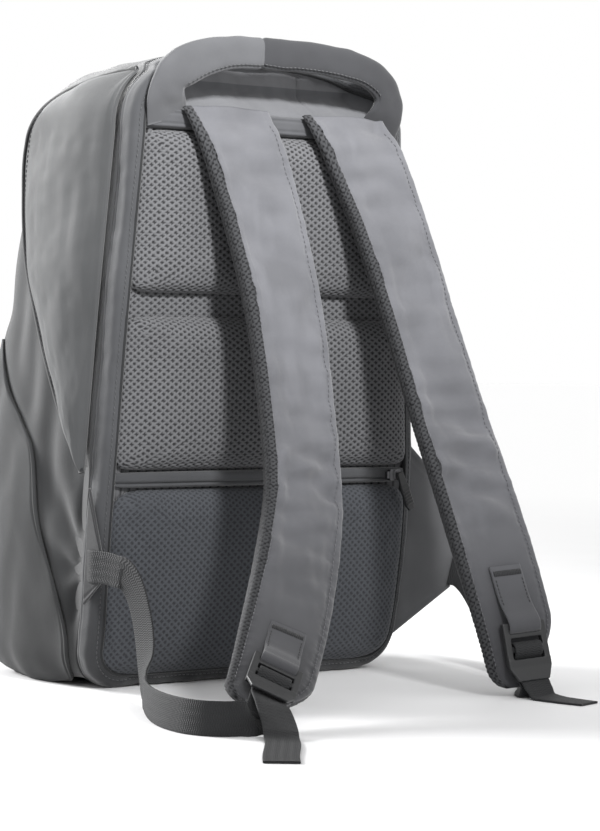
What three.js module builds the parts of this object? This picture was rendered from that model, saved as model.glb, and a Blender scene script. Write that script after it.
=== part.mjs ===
// Padded backpack standing on its base with its shoulder straps laid forward.
// Millimetres, +Z up. The back panel with the straps faces -Y, and the origin is the middle of the base.
import * as THREE from "three";

// Driving dimensions
const BASE_ROUND = 30;          // radius of the lower corners of the back outline
const TOP_START = 385;          // height where the arched top begins
const TOP_RISE = 61;            // from there to the crown of the bag
const TOP_POWER = 2.6;          // squareness of the arched top
const MID_HEIGHT = 240;         // level of the pouch's upper edge and middle of the front
const SHELL_WALL = 2.4;
const GAP = 0.3;                // clearance between neighbouring pieces
const MERGE = 1e-4;             // points nearer than this are one
const SKIN_GAP = 0.8;           // clearance of skins that lie on the main form
const GUSSET_DEPTH = 16;
const GUSSET_LIP = 9;           // how far the gusset turns onto the back
const GUSSET_ROUND = 7;
const GUSSET_WALL = 2.4;
const PANEL_WALL = 2.6;
const PANEL_SEAT = 2.4;         // depth at which the pads lie on the panel
const PAD_THICKNESS = 10.6;
const RECESS_DEPTH = 22;        // dent under the carry handle
const RECESS_LOW = 399;
const RECESS_HIGH = 420;
const RECESS_HALF = 82;
const RECESS_END = 106;
const STRAP_THICKNESS = 11;
const WEBBING_WIDTH = 22;
const WEBBING_THICKNESS = 1.8;

// Half width of the back outline at each height
const RIM_SIDE = [
  { z: BASE_ROUND, half: 139 },
  { z: 90, half: 141 },
  { z: 150, half: 140 },
  { z: 260, half: 133 },
  { z: TOP_START, half: 122 },
];

// Back face in side view: set in at the base, fullest behind the loins
const REAR_FACE = [
  { z: 0, y: -78 },
  { z: 50, y: -89 },
  { z: 145, y: -98 },
  { z: 270, y: -101 },
  { z: 400, y: -102 },
  { z: 460, y: -102 },
];

// Front face in side view: full at the pouch, falling back to the crown
const FRONT_FACE = [
  { z: 0, y: 72 },
  { z: 60, y: 85 },
  { z: 130, y: 84 },
  { z: 225, y: 72 },
  { z: 300, y: 64 },
  { z: 390, y: 60 },
  { z: 460, y: 42 },
];

// From the gusset round to the middle of the front: share of the depth, and share of width and height left
const BODY_RUN = [
  { run: 0, depth: 0, width: 1, upper: 1, lower: 1 },
  { run: 0.2, depth: 0.18, width: 1.014, upper: 0.999, lower: 1 },
  { run: 0.4, depth: 0.38, width: 1.016, upper: 0.994, lower: 1 },
  { run: 0.6, depth: 0.58, width: 1.004, upper: 0.984, lower: 1 },
  { run: 0.75, depth: 0.74, width: 0.978, upper: 0.965, lower: 1 },
  { run: 0.85, depth: 0.86, width: 0.935, upper: 0.935, lower: 0.975 },
  { run: 0.92, depth: 0.94, width: 0.865, upper: 0.875, lower: 0.92 },
  { run: 0.96, depth: 0.985, width: 0.74, upper: 0.75, lower: 0.8 },
  { run: 0.985, depth: 1, width: 0.45, upper: 0.45, lower: 0.5 },
];

// Piped seam behind the padded wedge on each side
const PIPED_SEAM = [
  { z: 150, run: 0.03 },
  { z: 182, run: 0.19 },
  { z: 258, run: 0.5 },
  { z: 300, run: 0.66 },
  { z: 345, run: 0.75 },
  { z: 388, run: 0.78 },
  { z: 408, run: 0.66 },
  { z: 420, run: 0.36 },
  { z: 426, run: 0.03 },
];

// Side seam of the front pouch, from under the base corner to the level of its upper edge
const POUCH_SEAM = [
  { z: 0, run: 0.85 },
  { z: 4, run: 0.85 },
  { z: 5.2, run: 0.75 },
  { z: 6.4, run: 0.6 },
  { z: 7.6, run: 0.4 },
  { z: 9, run: 0.2 },
  { z: 16, run: 0.1 },
  { z: 33, run: 0.12 },
  { z: 65, run: 0.26 },
  { z: 113, run: 0.42 },
  { z: 163, run: 0.49 },
  { z: 183, run: 0.6 },
  { z: 208, run: 0.75 },
  { z: MID_HEIGHT, run: 0.85 },
];

// Back pads: lower and upper edge, squareness of the corners
const BACK_PADS = [
  { name: "back_pad_lower", low: 11, high: 139, power: 10 },
  { name: "back_pad_middle", low: 152, high: 258, power: 16 },
  { name: "back_pad_upper", low: 274, high: 386, power: 16 },
];

// Shoulder straps: middle line, width, thickness and sideways tilt of each section
const STRAP_RIGHT = [
  { x: 57, y: -107.9, z: 402, width: 74, thick: 5, tilt: 0 },
  { x: 66, y: -117.5, z: 380, width: 71, thick: 10, tilt: 0 },
  { x: 82, y: -127, z: 338, width: 68, thick: STRAP_THICKNESS, tilt: 0 },
  { x: 97, y: -148, z: 265, width: 66, thick: STRAP_THICKNESS, tilt: 0 },
  { x: 104, y: -178, z: 188, width: 66, thick: STRAP_THICKNESS, tilt: 3 },
  { x: 106, y: -207, z: 130, width: 66, thick: STRAP_THICKNESS, tilt: 6 },
  { x: 106, y: -234, z: 74, width: 64, thick: STRAP_THICKNESS, tilt: 9 },
  { x: 107, y: -248, z: 38, width: 60, thick: 10, tilt: 11 },
  { x: 108, y: -255, z: 6.8, width: 52, thick: 8, tilt: 12 },
];
const STRAP_LEFT = [
  { x: -48, y: -107.9, z: 402, width: 74, thick: 5, tilt: 0 },
  { x: -42, y: -117.5, z: 380, width: 71, thick: 10, tilt: 0 },
  { x: -33, y: -129, z: 338, width: 68, thick: STRAP_THICKNESS, tilt: 0 },
  { x: -26, y: -148, z: 270, width: 65, thick: STRAP_THICKNESS, tilt: 0 },
  { x: -26, y: -165, z: 202, width: 64, thick: STRAP_THICKNESS, tilt: -2 },
  { x: -38, y: -190, z: 136, width: 64, thick: STRAP_THICKNESS, tilt: -4 },
  { x: -68, y: -219, z: 86, width: 63, thick: STRAP_THICKNESS, tilt: -4 },
  { x: -104, y: -250, z: 47, width: 60, thick: STRAP_THICKNESS, tilt: -3 },
  { x: -131, y: -274, z: 25.4, width: 56, thick: 10, tilt: -2 },
  { x: -153, y: -293, z: 12.8, width: 52, thick: 8, tilt: -1 },
];

// Sewn tab and buckle on each strap, measured back from the strap's end
const TAB_START = 84;
const TAB_END = 45;
const TAB_WIDTH = 25;
const TAB_THICKNESS = 2.4;
const BUCKLE_WIDTH = 34;
const BUCKLE_LENGTH = 36;
const BUCKLE_THICKNESS = 5;
const BUCKLE_BAR = 5;
const BUCKLE_SLOT = 25;
const BUCKLE_CLEAR = 1.4;       // from the tab's end and from the strap
const STRAP_STEPS = 24;

// Outlines of the pocket zip's slider and pull
const SLIDER_OUTLINE = [[-7, -3], [5, -4.4], [7, 0], [5, 4.4], [-7, 3]];
const PULL_OUTLINE = [
  [-2.2, 0], [-3.6, -12], [-3.6, -27], [-1.8, -30], [1.8, -30], [3.6, -27], [3.6, -12], [2.2, 0],
];
const PULL_SWING = 0.4;         // radians the pull hangs away from straight down

// Webbing routes: from the anchor wing to the buckle, and from the buckle to the free end
const ROUTES = {
  webbing_left: [
    [-141.3, -100.4, 87], [-140.2, -109, 86.4],
    [-139.2, -117, 85], [-138.4, -121, 84.8], [-137, -127, 80.5], [-135.6, -132.5, 72], [-134.8, -137, 61],
    [-134.8, -141, 50], [-136, -145, 39], [-138.6, -149.5, 28.5], [-143.5, -156, 20], [-151, -166, 14.5],
    [-160.5, -179.5, 12.4], [-171, -195.5, 12], [-181, -212.5, 12], [-190, -230.5, 12], [-197, -249, 12],
    [-201, -267, 12], [-201.5, -283, 12], [-197, -296, 12], [-188.5, -304.5, 12], [-178.5, -308, 11.8],
    [-169.4, -307.6, 9.8], [-161.2, -303.6, 11], [-153.7, -298, 16.2], [-147.8, -293.2, 20.8],
  ],
  webbing_tail_left: [
    [-148.3, -295.6, 22.4], [-151.8, -300.4, 20.3], [-154.5, -307, 17.4], [-158.5, -316, 13],
    [-163.5, -326, 8], [-170, -336.5, 4], [-178, -348, 2.2], [-187.5, -360, 2], [-197.5, -372, 2],
    [-207.5, -384, 2], [-217, -396, 2], [-226, -408, 2],
  ],
  webbing_right: [
    [177.6, -97.2, 72.6], [184, -101.5, 70.5], [189, -107, 64], [192, -114, 54], [193, -122, 42],
    [192, -131, 30], [190, -141, 18.5], [187, -152, 9.5], [182, -165, 4], [174, -181, 2.1], [164, -198, 2],
    [152, -215, 2], [139, -231, 2], [126, -244, 2], [115, -253.5, 2], [109, -260.5, 2.2], [107, -265.2, 4.8],
    [106.5, -265.8, 9.4], [106.3, -262.9, 15],
  ],
  webbing_tail_right: [
    [105.8, -265.6, 15.8], [106, -268, 11.6], [106.2, -270.6, 8], [106.5, -274, 4.8], [107, -279, 2.8],
    [107.8, -285, 2], [109, -292, 2], [110.4, -299, 2], [112, -306, 2], [114, -313, 2],
  ],
};
// Direction across the webbing at shares of its run
const ACROSS = {
  webbing_left: [
    { share: 0, x: 0, y: 0, z: 1 },
    { share: 0.08, x: 0, y: 0, z: 1 },
    { share: 0.282, x: 0, y: -0.93, z: 0.35 },
    { share: 0.476, x: 0, y: 0, z: 1 },
    { share: 0.796, x: 0, y: 0, z: 1 },
    { share: 0.88, x: -0.5, y: 0.45, z: 0.72 },
    { share: 0.927, x: -0.72, y: 0.6, z: 0.33 },
    { share: 1, x: -0.72, y: 0.55, z: 0.41 },
  ],
  webbing_tail_left: [
    { share: 0, x: 0.72, y: -0.55, z: -0.41 },
    { share: 0.5, x: 0.86, y: -0.5, z: 0 },
    { share: 1, x: 0.8, y: -0.6, z: 0 },
  ],
  webbing_right: [
    { share: 0, x: 0.18, y: 0, z: 0.98 },
    { share: 0.25, x: 0.75, y: -0.5, z: 0.4 },
    { share: 0.55, x: 0.79, y: -0.61, z: 0 },
    { share: 0.85, x: 0.96, y: -0.25, z: 0 },
    { share: 1, x: 0.98, y: -0.18, z: 0.07 },
  ],
  webbing_tail_right: [
    { share: 0, x: 0.98, y: -0.18, z: 0.07 },
    { share: 1, x: 0.98, y: 0.2, z: 0 },
  ],
};

// Colours and finishes
const CLOTH = new THREE.MeshStandardMaterial({ color: 0x55575b, roughness: 0.85, metalness: 0 });
const STRAP_CLOTH = new THREE.MeshStandardMaterial({ color: 0x63656a, roughness: 0.85, metalness: 0 });
const MESH_CLOTH = new THREE.MeshStandardMaterial({ color: 0x4a4c50, roughness: 0.95, metalness: 0 });
const WEBBING = new THREE.MeshStandardMaterial({ color: 0x3c3e42, roughness: 0.8, metalness: 0 });
const PLASTIC = new THREE.MeshStandardMaterial({ color: 0x26272a, roughness: 0.5, metalness: 0 });
const METAL = new THREE.MeshStandardMaterial({ color: 0x4b4c4f, roughness: 0.4, metalness: 0.8 });

const bag = new THREE.Group();

// Smooth value of one column of a table at a place along another column
function along(rows, key, column, at) {
  const last = rows.length - 1;
  const place = THREE.MathUtils.clamp(at, rows[0][key], rows[last][key]);
  let k = 0;
  while (k < last - 1 && place > rows[k + 1][key]) k += 1;
  const slope = (i) => {
    const a = rows[Math.max(i - 1, 0)];
    const b = rows[Math.min(i + 1, last)];
    return (b[column] - a[column]) / (b[key] - a[key]);
  };
  const step = rows[k + 1][key] - rows[k][key];
  const t = (place - rows[k][key]) / step;
  const start = rows[k][column];
  const rise = rows[k + 1][column] - start;
  const easeIn = step * slope(k) - rise;
  const easeOut = rise - step * slope(k + 1);
  return start + t * rise + t * (1 - t) * ((1 - t) * easeIn + t * easeOut);
}

// Right half of the back outline, from the middle of the base to the crown
function halfOutline() {
  const cornerSteps = 5;
  const archSteps = 8;
  const sideHeights = [65, 110, 150, 195, MID_HEIGHT, 290, 340, TOP_START];
  const corner = RIM_SIDE[0].half - BASE_ROUND;
  const points = [new THREE.Vector2(0, 0), new THREE.Vector2(corner / 2, 0)];
  for (let k = 0; k <= cornerSteps; k += 1) {
    const a = (Math.PI / 2) * (k / cornerSteps - 1);
    points.push(new THREE.Vector2(corner + BASE_ROUND * Math.cos(a), BASE_ROUND + BASE_ROUND * Math.sin(a)));
  }
  for (const z of sideHeights) points.push(new THREE.Vector2(along(RIM_SIDE, "z", "half", z), z));
  const topHalf = RIM_SIDE[RIM_SIDE.length - 1].half;
  for (let k = 1; k <= archSteps; k += 1) {
    const a = (Math.PI / 2) * (k / archSteps);
    const out = Math.max(Math.cos(a), 0) ** (2 / TOP_POWER);
    points.push(new THREE.Vector2(topHalf * out, TOP_START + TOP_RISE * Math.sin(a) ** (2 / TOP_POWER)));
  }
  return points;
}

const HALF_OUTLINE = halfOutline();
const OUTLINE_RUN = [0];
for (let k = 1; k < HALF_OUTLINE.length; k += 1) {
  OUTLINE_RUN.push(OUTLINE_RUN[k - 1] + HALF_OUTLINE[k].distanceTo(HALF_OUTLINE[k - 1]));
}

// Point of the whole back outline: 0 at the middle of the base, 0.25 about half way up +X, 0.5 at the crown
function outlinePoint(turn) {
  const t = ((turn % 1) + 1) % 1;
  const share = t <= 0.5 ? 2 * t : 2 * (1 - t);
  const target = share * OUTLINE_RUN[OUTLINE_RUN.length - 1];
  let k = 0;
  while (k < OUTLINE_RUN.length - 2 && OUTLINE_RUN[k + 1] < target) k += 1;
  const part = (target - OUTLINE_RUN[k]) / (OUTLINE_RUN[k + 1] - OUTLINE_RUN[k]);
  const point = HALF_OUTLINE[k].clone().lerp(HALF_OUTLINE[k + 1], part);
  return t <= 0.5 ? point : new THREE.Vector2(-point.x, point.y);
}

// The outline moved outwards (or inwards, when negative)
function outlineOffset(turn, out) {
  const reach = 0.006;
  const tangent = outlinePoint(turn + reach).sub(outlinePoint(turn - reach)).normalize();
  return outlinePoint(turn).add(new THREE.Vector2(tangent.y, -tangent.x).multiplyScalar(out));
}

// Place along the outline, on the +X side, that lies at a height
function turnAtHeight(z) {
  let low = 0.02;
  let high = 0.5;
  for (let k = 0; k < 40; k += 1) {
    const middle = (low + high) / 2;
    if (outlinePoint(middle).y < z) low = middle;
    else high = middle;
  }
  return (low + high) / 2;
}

// The back face, with the dent under the handle
function rearFace(x, z) {
  const across = 1 - THREE.MathUtils.smoothstep(Math.abs(x), RECESS_HALF, RECESS_END);
  const up = THREE.MathUtils.smoothstep(z, RECESS_LOW, RECESS_HIGH);
  return along(REAR_FACE, "z", "y", z) + RECESS_DEPTH * across * up;
}

// Point near the edge of the back: inset from the outline, depth behind the back face
function edgePoint(turn, inset, depth) {
  const edge = outlinePoint(turn);
  const p = outlineOffset(turn, -inset);
  const share = THREE.MathUtils.smoothstep(inset, GUSSET_WALL, GUSSET_LIP);
  const rear = THREE.MathUtils.lerp(rearFace(edge.x, edge.y), rearFace(p.x, p.y), share);
  return new THREE.Vector3(p.x, rear + depth, p.y);
}

// Point of the main form: turn round the outline, run from gusset to front, height over the cloth
function bodyPoint(turn, run, over) {
  const middle = run >= 1;
  const place = Math.min(run, BODY_RUN[BODY_RUN.length - 1].run);
  const share = (column) => (middle ? 0 : along(BODY_RUN, "run", column, place));
  const cloth = outlinePoint(turn);
  const lift = cloth.y > MID_HEIGHT ? share("upper") : share("lower");
  const scaled = (p) => new THREE.Vector2(p.x * share("width"), MID_HEIGHT + (p.y - MID_HEIGHT) * lift);
  const level = scaled(cloth);
  const rear = rearFace(level.x, level.y) + GUSSET_DEPTH;
  const front = along(FRONT_FACE, "z", "y", level.y);
  const depth = middle ? 1 : share("depth");
  const moved = scaled(outlineOffset(turn, over));
  return new THREE.Vector3(moved.x, rear + (front - rear + over) * depth, moved.y);
}

// Closed surface through a list of triangles given as corner points
function solid(triangles) {
  let volume = 0;
  const apart = (a, b) => a.distanceTo(b) > MERGE;
  const kept = triangles.filter(([a, b, c]) => apart(a, b) && apart(b, c) && apart(c, a));
  for (const [a, b, c] of kept) volume += a.dot(b.clone().cross(c));
  const numbers = [];
  for (const [a, b, c] of kept) {
    const order = volume > 0 ? [a, b, c] : [a, c, b];
    for (const p of order) numbers.push(p.x, p.y, p.z);
  }
  const geometry = new THREE.BufferGeometry();
  geometry.setAttribute("position", new THREE.Float32BufferAttribute(numbers, 3));
  geometry.computeVertexNormals();
  return geometry;
}

function quad(list, a, b, c, d) {
  list.push([a, b, c], [a, c, d]);
}

// Skin through rings of points; the ends close on a middle point, or the last ring meets the first
function skin(rings, { closed = false, startPoint = null, endPoint = null } = {}) {
  const triangles = [];
  const count = rings[0].length;
  const last = closed ? rings.length : rings.length - 1;
  for (let r = 0; r < last; r += 1) {
    const one = rings[r];
    const two = rings[(r + 1) % rings.length];
    for (let k = 0; k < count; k += 1) {
      const n = (k + 1) % count;
      quad(triangles, one[k], one[n], two[n], two[k]);
    }
  }
  if (!closed) {
    const start = startPoint ?? middleOf(rings[0]);
    const end = endPoint ?? middleOf(rings[rings.length - 1]);
    for (let k = 0; k < count; k += 1) {
      const n = (k + 1) % count;
      triangles.push([start, rings[0][n], rings[0][k]]);
      triangles.push([end, rings[rings.length - 1][k], rings[rings.length - 1][n]]);
    }
  }
  return solid(triangles);
}

function middleOf(ring) {
  const sum = new THREE.Vector3();
  for (const p of ring) sum.add(p);
  return sum.divideScalar(ring.length);
}

// Layer of cloth or foam between two grids of points with the same rows
function layer(top, under) {
  const triangles = [];
  const rows = top.length;
  const columns = top[0].length;
  for (let i = 0; i < rows - 1; i += 1) {
    for (let j = 0; j < columns - 1; j += 1) {
      quad(triangles, top[i][j], top[i + 1][j], top[i + 1][j + 1], top[i][j + 1]);
      quad(triangles, under[i][j], under[i][j + 1], under[i + 1][j + 1], under[i + 1][j]);
    }
  }
  for (let i = 0; i < rows - 1; i += 1) {
    quad(triangles, top[i][0], under[i][0], under[i + 1][0], top[i + 1][0]);
    const e = columns - 1;
    quad(triangles, top[i][e], top[i + 1][e], under[i + 1][e], under[i][e]);
  }
  for (let j = 0; j < columns - 1; j += 1) {
    quad(triangles, top[0][j], top[0][j + 1], under[0][j + 1], under[0][j]);
    const e = rows - 1;
    quad(triangles, top[e][j], under[e][j], under[e][j + 1], top[e][j + 1]);
  }
  return solid(triangles);
}

function add(name, geometry, material) {
  const mesh = new THREE.Mesh(geometry, material);
  mesh.name = name;
  bag.add(mesh);
  return mesh;
}

// Places of the outline's corners, once round
function turns() {
  const half = OUTLINE_RUN.map((run) => run / OUTLINE_RUN[OUTLINE_RUN.length - 1] / 2);
  const back = half.slice(1, -1).reverse().map((turn) => 1 - turn);
  return [...half, ...back];
}

// Hollow main form, open towards the back
function bodyShell() {
  const ring = (run, over) => turns().map((turn) => bodyPoint(turn, run, over));
  const runs = BODY_RUN.map((row) => row.run);
  const outer = [...runs].reverse().map((run) => ring(run, 0));
  const inner = runs.map((run) => ring(run, -SHELL_WALL));
  const geometry = skin([...outer, ...inner], {
    startPoint: bodyPoint(0.25, 1, 0),
    endPoint: bodyPoint(0.25, 1, -SHELL_WALL),
  });
  add("body_shell", geometry, CLOTH);
}

// Strip round the back panel that covers the main zip
function zipGusset() {
  const section = [[0, GUSSET_DEPTH - GAP]];
  const arcSteps = 3;
  for (let k = 0; k <= arcSteps; k += 1) {
    const a = (Math.PI / 2) * (k / arcSteps);
    section.push([GUSSET_ROUND * (1 - Math.cos(a)), GUSSET_ROUND * (1 - Math.sin(a))]);
  }
  section.push([GUSSET_LIP, 0], [GUSSET_LIP, GUSSET_WALL]);
  const innerRound = GUSSET_ROUND - GUSSET_WALL;
  for (let k = arcSteps; k >= 0; k -= 1) {
    const a = (Math.PI / 2) * (k / arcSteps);
    section.push([GUSSET_ROUND - innerRound * Math.cos(a), GUSSET_ROUND - innerRound * Math.sin(a)]);
  }
  section.push([GUSSET_WALL, GUSSET_DEPTH - GAP]);
  const rings = turns().map((turn) => section.map(([inset, depth]) => edgePoint(turn, inset, depth)));
  add("zip_gusset", skin(rings, { closed: true }), CLOTH);
}

// Board that closes the back, behind the lip of the gusset
function backPanel() {
  const insets = [GUSSET_LIP + 2, GUSSET_ROUND + GAP];
  const shares = [0.4, 0.7, 0.84, 0.9];
  const centre = new THREE.Vector2(0, MID_HEIGHT - BASE_ROUND);
  const near = GUSSET_WALL + 3 * GAP;
  const sheet = (depth) => {
    const inner = shares.map((share) => turns().map((turn) => {
      const p = centre.clone().lerp(outlinePoint(turn), share);
      return new THREE.Vector3(p.x, rearFace(p.x, p.y) + depth, p.y);
    }));
    const outer = insets.map((inset) => turns().map((turn) => edgePoint(turn, inset, depth)));
    return [...inner, ...outer];
  };
  const middle = rearFace(centre.x, centre.y) + near;
  add("back_panel", skin([...sheet(near), ...sheet(near + PANEL_WALL).reverse()], {
    startPoint: new THREE.Vector3(centre.x, middle, centre.y),
    endPoint: new THREE.Vector3(centre.x, middle + PANEL_WALL, centre.y),
  }), MESH_CLOTH);
}

// Half width left for what lies on the panel, inside the gusset's lip
function panelHalf(z) {
  const side = z < BASE_ROUND
    ? RIM_SIDE[0].half - BASE_ROUND + Math.sqrt(BASE_ROUND ** 2 - (BASE_ROUND - z) ** 2)
    : along(RIM_SIDE, "z", "half", z);
  return side - GUSSET_LIP - 2 * GAP;
}

// Foam block on the panel with rounded corners and a crowned face
function panelCushion({ low, high, power, thickness, half = panelHalf, facets = 36 }) {
  const profile = [
    { share: 0.5, over: 0 },
    { share: 1, over: 0 },
    { share: 1, over: 0.6 },
    { share: 0.975, over: 0.86 },
    { share: 0.92, over: 0.96 },
    { share: 0.6, over: 1 },
  ];
  const place = (a, b, over) => {
    const z = (low + high) / 2 + (b * (high - low)) / 2;
    const x = a * half(z);
    return new THREE.Vector3(x, rearFace(x, z) + PANEL_SEAT - over * thickness, z);
  };
  const rings = profile.map(({ share, over }) => Array.from({ length: facets }, (unused, k) => {
    const angle = (2 * Math.PI * k) / facets;
    const square = (value) => Math.sign(value) * Math.abs(value) ** (2 / power);
    return place(share * square(Math.cos(angle)), share * square(Math.sin(angle)), over);
  }));
  return skin(rings, { startPoint: place(0, 0, 0), endPoint: place(0, 0, 1) });
}

function backPads() {
  for (const { name, low, high, power } of BACK_PADS) {
    add(name, panelCushion({ low, high, power, thickness: PAD_THICKNESS }), MESH_CLOTH);
  }
}

// Binding into which the straps are sewn
function topBand() {
  const half = () => 111;
  add("top_band", panelCushion({ low: 387, high: 401, power: 10, thickness: 6, half, facets: 24 }), CLOTH);
}

// Zip of the lower back pocket, with its cover, slider and pull
function pocketZip() {
  const low = 140;
  const high = 151;
  const cover = 6.4;
  add("pocket_zip", panelCushion({ low, high, power: 10, thickness: cover, facets: 28 }), CLOTH);
  const sliderX = 114;
  const sliderZ = (low + high) / 2;
  const face = rearFace(sliderX, sliderZ) + PANEL_SEAT - cover;
  const sliderThickness = 5;
  const sliderMesh = add("zip_slider", plate(SLIDER_OUTLINE, sliderThickness), METAL);
  sliderMesh.rotation.x = Math.PI / 2;
  sliderMesh.position.set(sliderX, face - GAP, sliderZ);
  const pullThickness = 3;
  const pullMesh = add("zip_pull", plate(PULL_OUTLINE, pullThickness), PLASTIC);
  pullMesh.rotation.set(Math.PI / 2, 0, PULL_SWING);
  pullMesh.position.set(sliderX + 2, face - GAP - sliderThickness - GAP, sliderZ + 2);
}

// Padded wedge on each side between the gusset and the piped seam
function sidePads() {
  const runs = [0, 0.1, 0.2, 0.3, 0.4, 0.5, 0.6, 0.7, 0.75, 0.8];
  const first = PIPED_SEAM[0];
  const final = PIPED_SEAM[PIPED_SEAM.length - 1];
  const rise = 5.5;
  const edge = 1.6;
  const corners = HALF_OUTLINE.map((p) => p.y).filter((z) => z > first.z && z < final.z);
  const bounds = [first.z, ...corners, final.z];
  const heights = bounds.flatMap((z, k) => (k === 0 ? [z] : [(bounds[k - 1] + z) / 2, z]));
  for (const side of [1, -1]) {
    const grid = (over) => heights.map((z) => {
      const upward = (z - first.z) / (final.z - first.z);
      const reach = along(PIPED_SEAM, "z", "run", z);
      return runs.map((run) => {
        const place = THREE.MathUtils.clamp(run, first.run, reach);
        const across = (place - first.run) / Math.max(reach - first.run, GAP);
        const crown = Math.sqrt(Math.max(Math.sin(Math.PI * across) * Math.sin(Math.PI * upward), 0));
        return bodyPoint(side * turnAtHeight(z), place, over(crown));
      });
    });
    const top = grid((crown) => SKIN_GAP + edge + rise * crown);
    const under = grid(() => SKIN_GAP);
    add(side > 0 ? "side_pad_right" : "side_pad_left", layer(top, under), CLOTH);
  }
}

// Second skin over the lower front and sides
function frontPouch() {
  const runs = [0.1, 0.2, 0.4, 0.6, 0.75, 0.85, 0.92, 0.96, 0.985, 1];
  const reach = turnAtHeight(MID_HEIGHT);
  const thickness = 2;
  const corners = turns().filter((turn) => turn < reach - MERGE);
  const seam = POUCH_SEAM.filter((row) => row.z > 0).map((row) => turnAtHeight(row.z));
  const extra = seam.filter((turn) => corners.every((corner) => Math.abs(corner - turn) > MERGE));
  const half = [...corners, ...extra].sort((a, b) => a - b);
  const across = [...half.slice(1).reverse(), ...half.map((turn) => -turn)];
  const grid = (over) => across.map((turn) => {
    const start = along(POUCH_SEAM, "z", "run", outlinePoint(turn).y);
    return runs.map((run) => bodyPoint(turn, Math.max(run, start), over));
  });
  add("front_pouch", layer(grid(SKIN_GAP + thickness), grid(SKIN_GAP)), CLOTH);
}

// Smooth line through points
function smoothLine(points) {
  return new THREE.CatmullRomCurve3(points.map((p) => new THREE.Vector3(...p)), false, "centripetal");
}

// Plate with the outline given by its corner points
function plate(corners, thickness) {
  const shape = new THREE.Shape(corners.map(([x, y]) => new THREE.Vector2(x, y)));
  return new THREE.ExtrudeGeometry(shape, { depth: thickness, bevelEnabled: false });
}

// Ring of a flat rounded section at a point, across and through given directions
function bandRing(centre, across, through, width, thickness, facets, power) {
  return Array.from({ length: facets }, (unused, k) => {
    const angle = (2 * Math.PI * (k + 0.5)) / facets;
    const square = (value) => Math.sign(value) * Math.abs(value) ** (2 / power);
    return centre.clone()
      .addScaledVector(across, (square(Math.cos(angle)) * width) / 2)
      .addScaledVector(through, (square(Math.sin(angle)) * thickness) / 2);
  });
}

// Carry handle arched across the dent at the top of the back
function handle() {
  const steps = 22;
  const half = 103;
  const foot = 405;
  const rise = 40;
  const power = 3;
  const height = 18;
  const thickness = 10;
  const stand = thickness / 2;
  const bulge = 4;
  const middle = (share) => {
    const a = Math.PI * share;
    const x = half * Math.sign(Math.cos(a)) * Math.abs(Math.cos(a)) ** (2 / power);
    const z = foot + rise * Math.sin(a) ** (2 / power);
    const y = along(REAR_FACE, "z", "y", z) - stand - bulge * Math.sin(a);
    return new THREE.Vector3(x, y, z);
  };
  const rings = Array.from({ length: steps + 1 }, (unused, k) => {
    const share = k / steps;
    const ahead = middle(Math.min(share + 0.01, 1)).sub(middle(Math.max(share - 0.01, 0))).normalize();
    const through = new THREE.Vector3(0, 1, 0);
    const across = ahead.clone().cross(through).normalize();
    return bandRing(middle(share), across, through, height, thickness, 10, 2.6);
  });
  add("handle", skin(rings), CLOTH);
}

// Middle line, directions and sizes along a strap
function strapFrame(rows) {
  const curve = smoothLine(rows.map((row) => [row.x, row.y, row.z]));
  const keyed = rows.map((row, k) => ({ ...row, k }));
  const at = (t) => {
    const k = t * (rows.length - 1);
    const ahead = curve.getTangent(t);
    const square = THREE.MathUtils.smoothstep(t, 0.02, 0.2);
    const sideways = new THREE.Vector3(1, 0, 0);
    const across = sideways.addScaledVector(ahead, -ahead.x * square).normalize();
    across.applyAxisAngle(ahead, THREE.MathUtils.degToRad(along(keyed, "k", "tilt", k)));
    const out = ahead.clone().cross(across).normalize();
    if (out.y > 0) out.negate();
    return {
      centre: curve.getPoint(t),
      ahead,
      across,
      out,
      width: along(keyed, "k", "width", k),
      thick: along(keyed, "k", "thick", k),
    };
  };
  const length = curve.getLength();
  const fromEnd = (distance) => at(curve.getUtoTmapping(1 - distance / length));
  return { at, fromEnd };
}

// Ladder lock frame: an outer frame with three bars
function buckleGeometry() {
  const half = BUCKLE_WIDTH / 2;
  const end = BUCKLE_LENGTH / 2;
  const chamfer = 4;
  const frame = new THREE.Shape();
  frame.moveTo(-half + chamfer, -end);
  frame.lineTo(half - chamfer, -end);
  frame.lineTo(half, -end + chamfer);
  frame.lineTo(half, end - chamfer);
  frame.lineTo(half - chamfer, end);
  frame.lineTo(-half + chamfer, end);
  frame.lineTo(-half, end - chamfer);
  frame.lineTo(-half, -end + chamfer);
  frame.closePath();
  const slots = 3;
  const slotLength = (BUCKLE_LENGTH - (slots + 1) * BUCKLE_BAR) / slots;
  for (let k = 0; k < slots; k += 1) {
    const low = -end + BUCKLE_BAR + k * (slotLength + BUCKLE_BAR);
    const hole = new THREE.Path();
    hole.moveTo(-BUCKLE_SLOT / 2, low);
    hole.lineTo(-BUCKLE_SLOT / 2, low + slotLength);
    hole.lineTo(BUCKLE_SLOT / 2, low + slotLength);
    hole.lineTo(BUCKLE_SLOT / 2, low);
    hole.closePath();
    frame.holes.push(hole);
  }
  const geometry = new THREE.ExtrudeGeometry(frame, { depth: BUCKLE_THICKNESS, bevelEnabled: false });
  return geometry.translate(0, 0, -BUCKLE_THICKNESS / 2);
}

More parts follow.
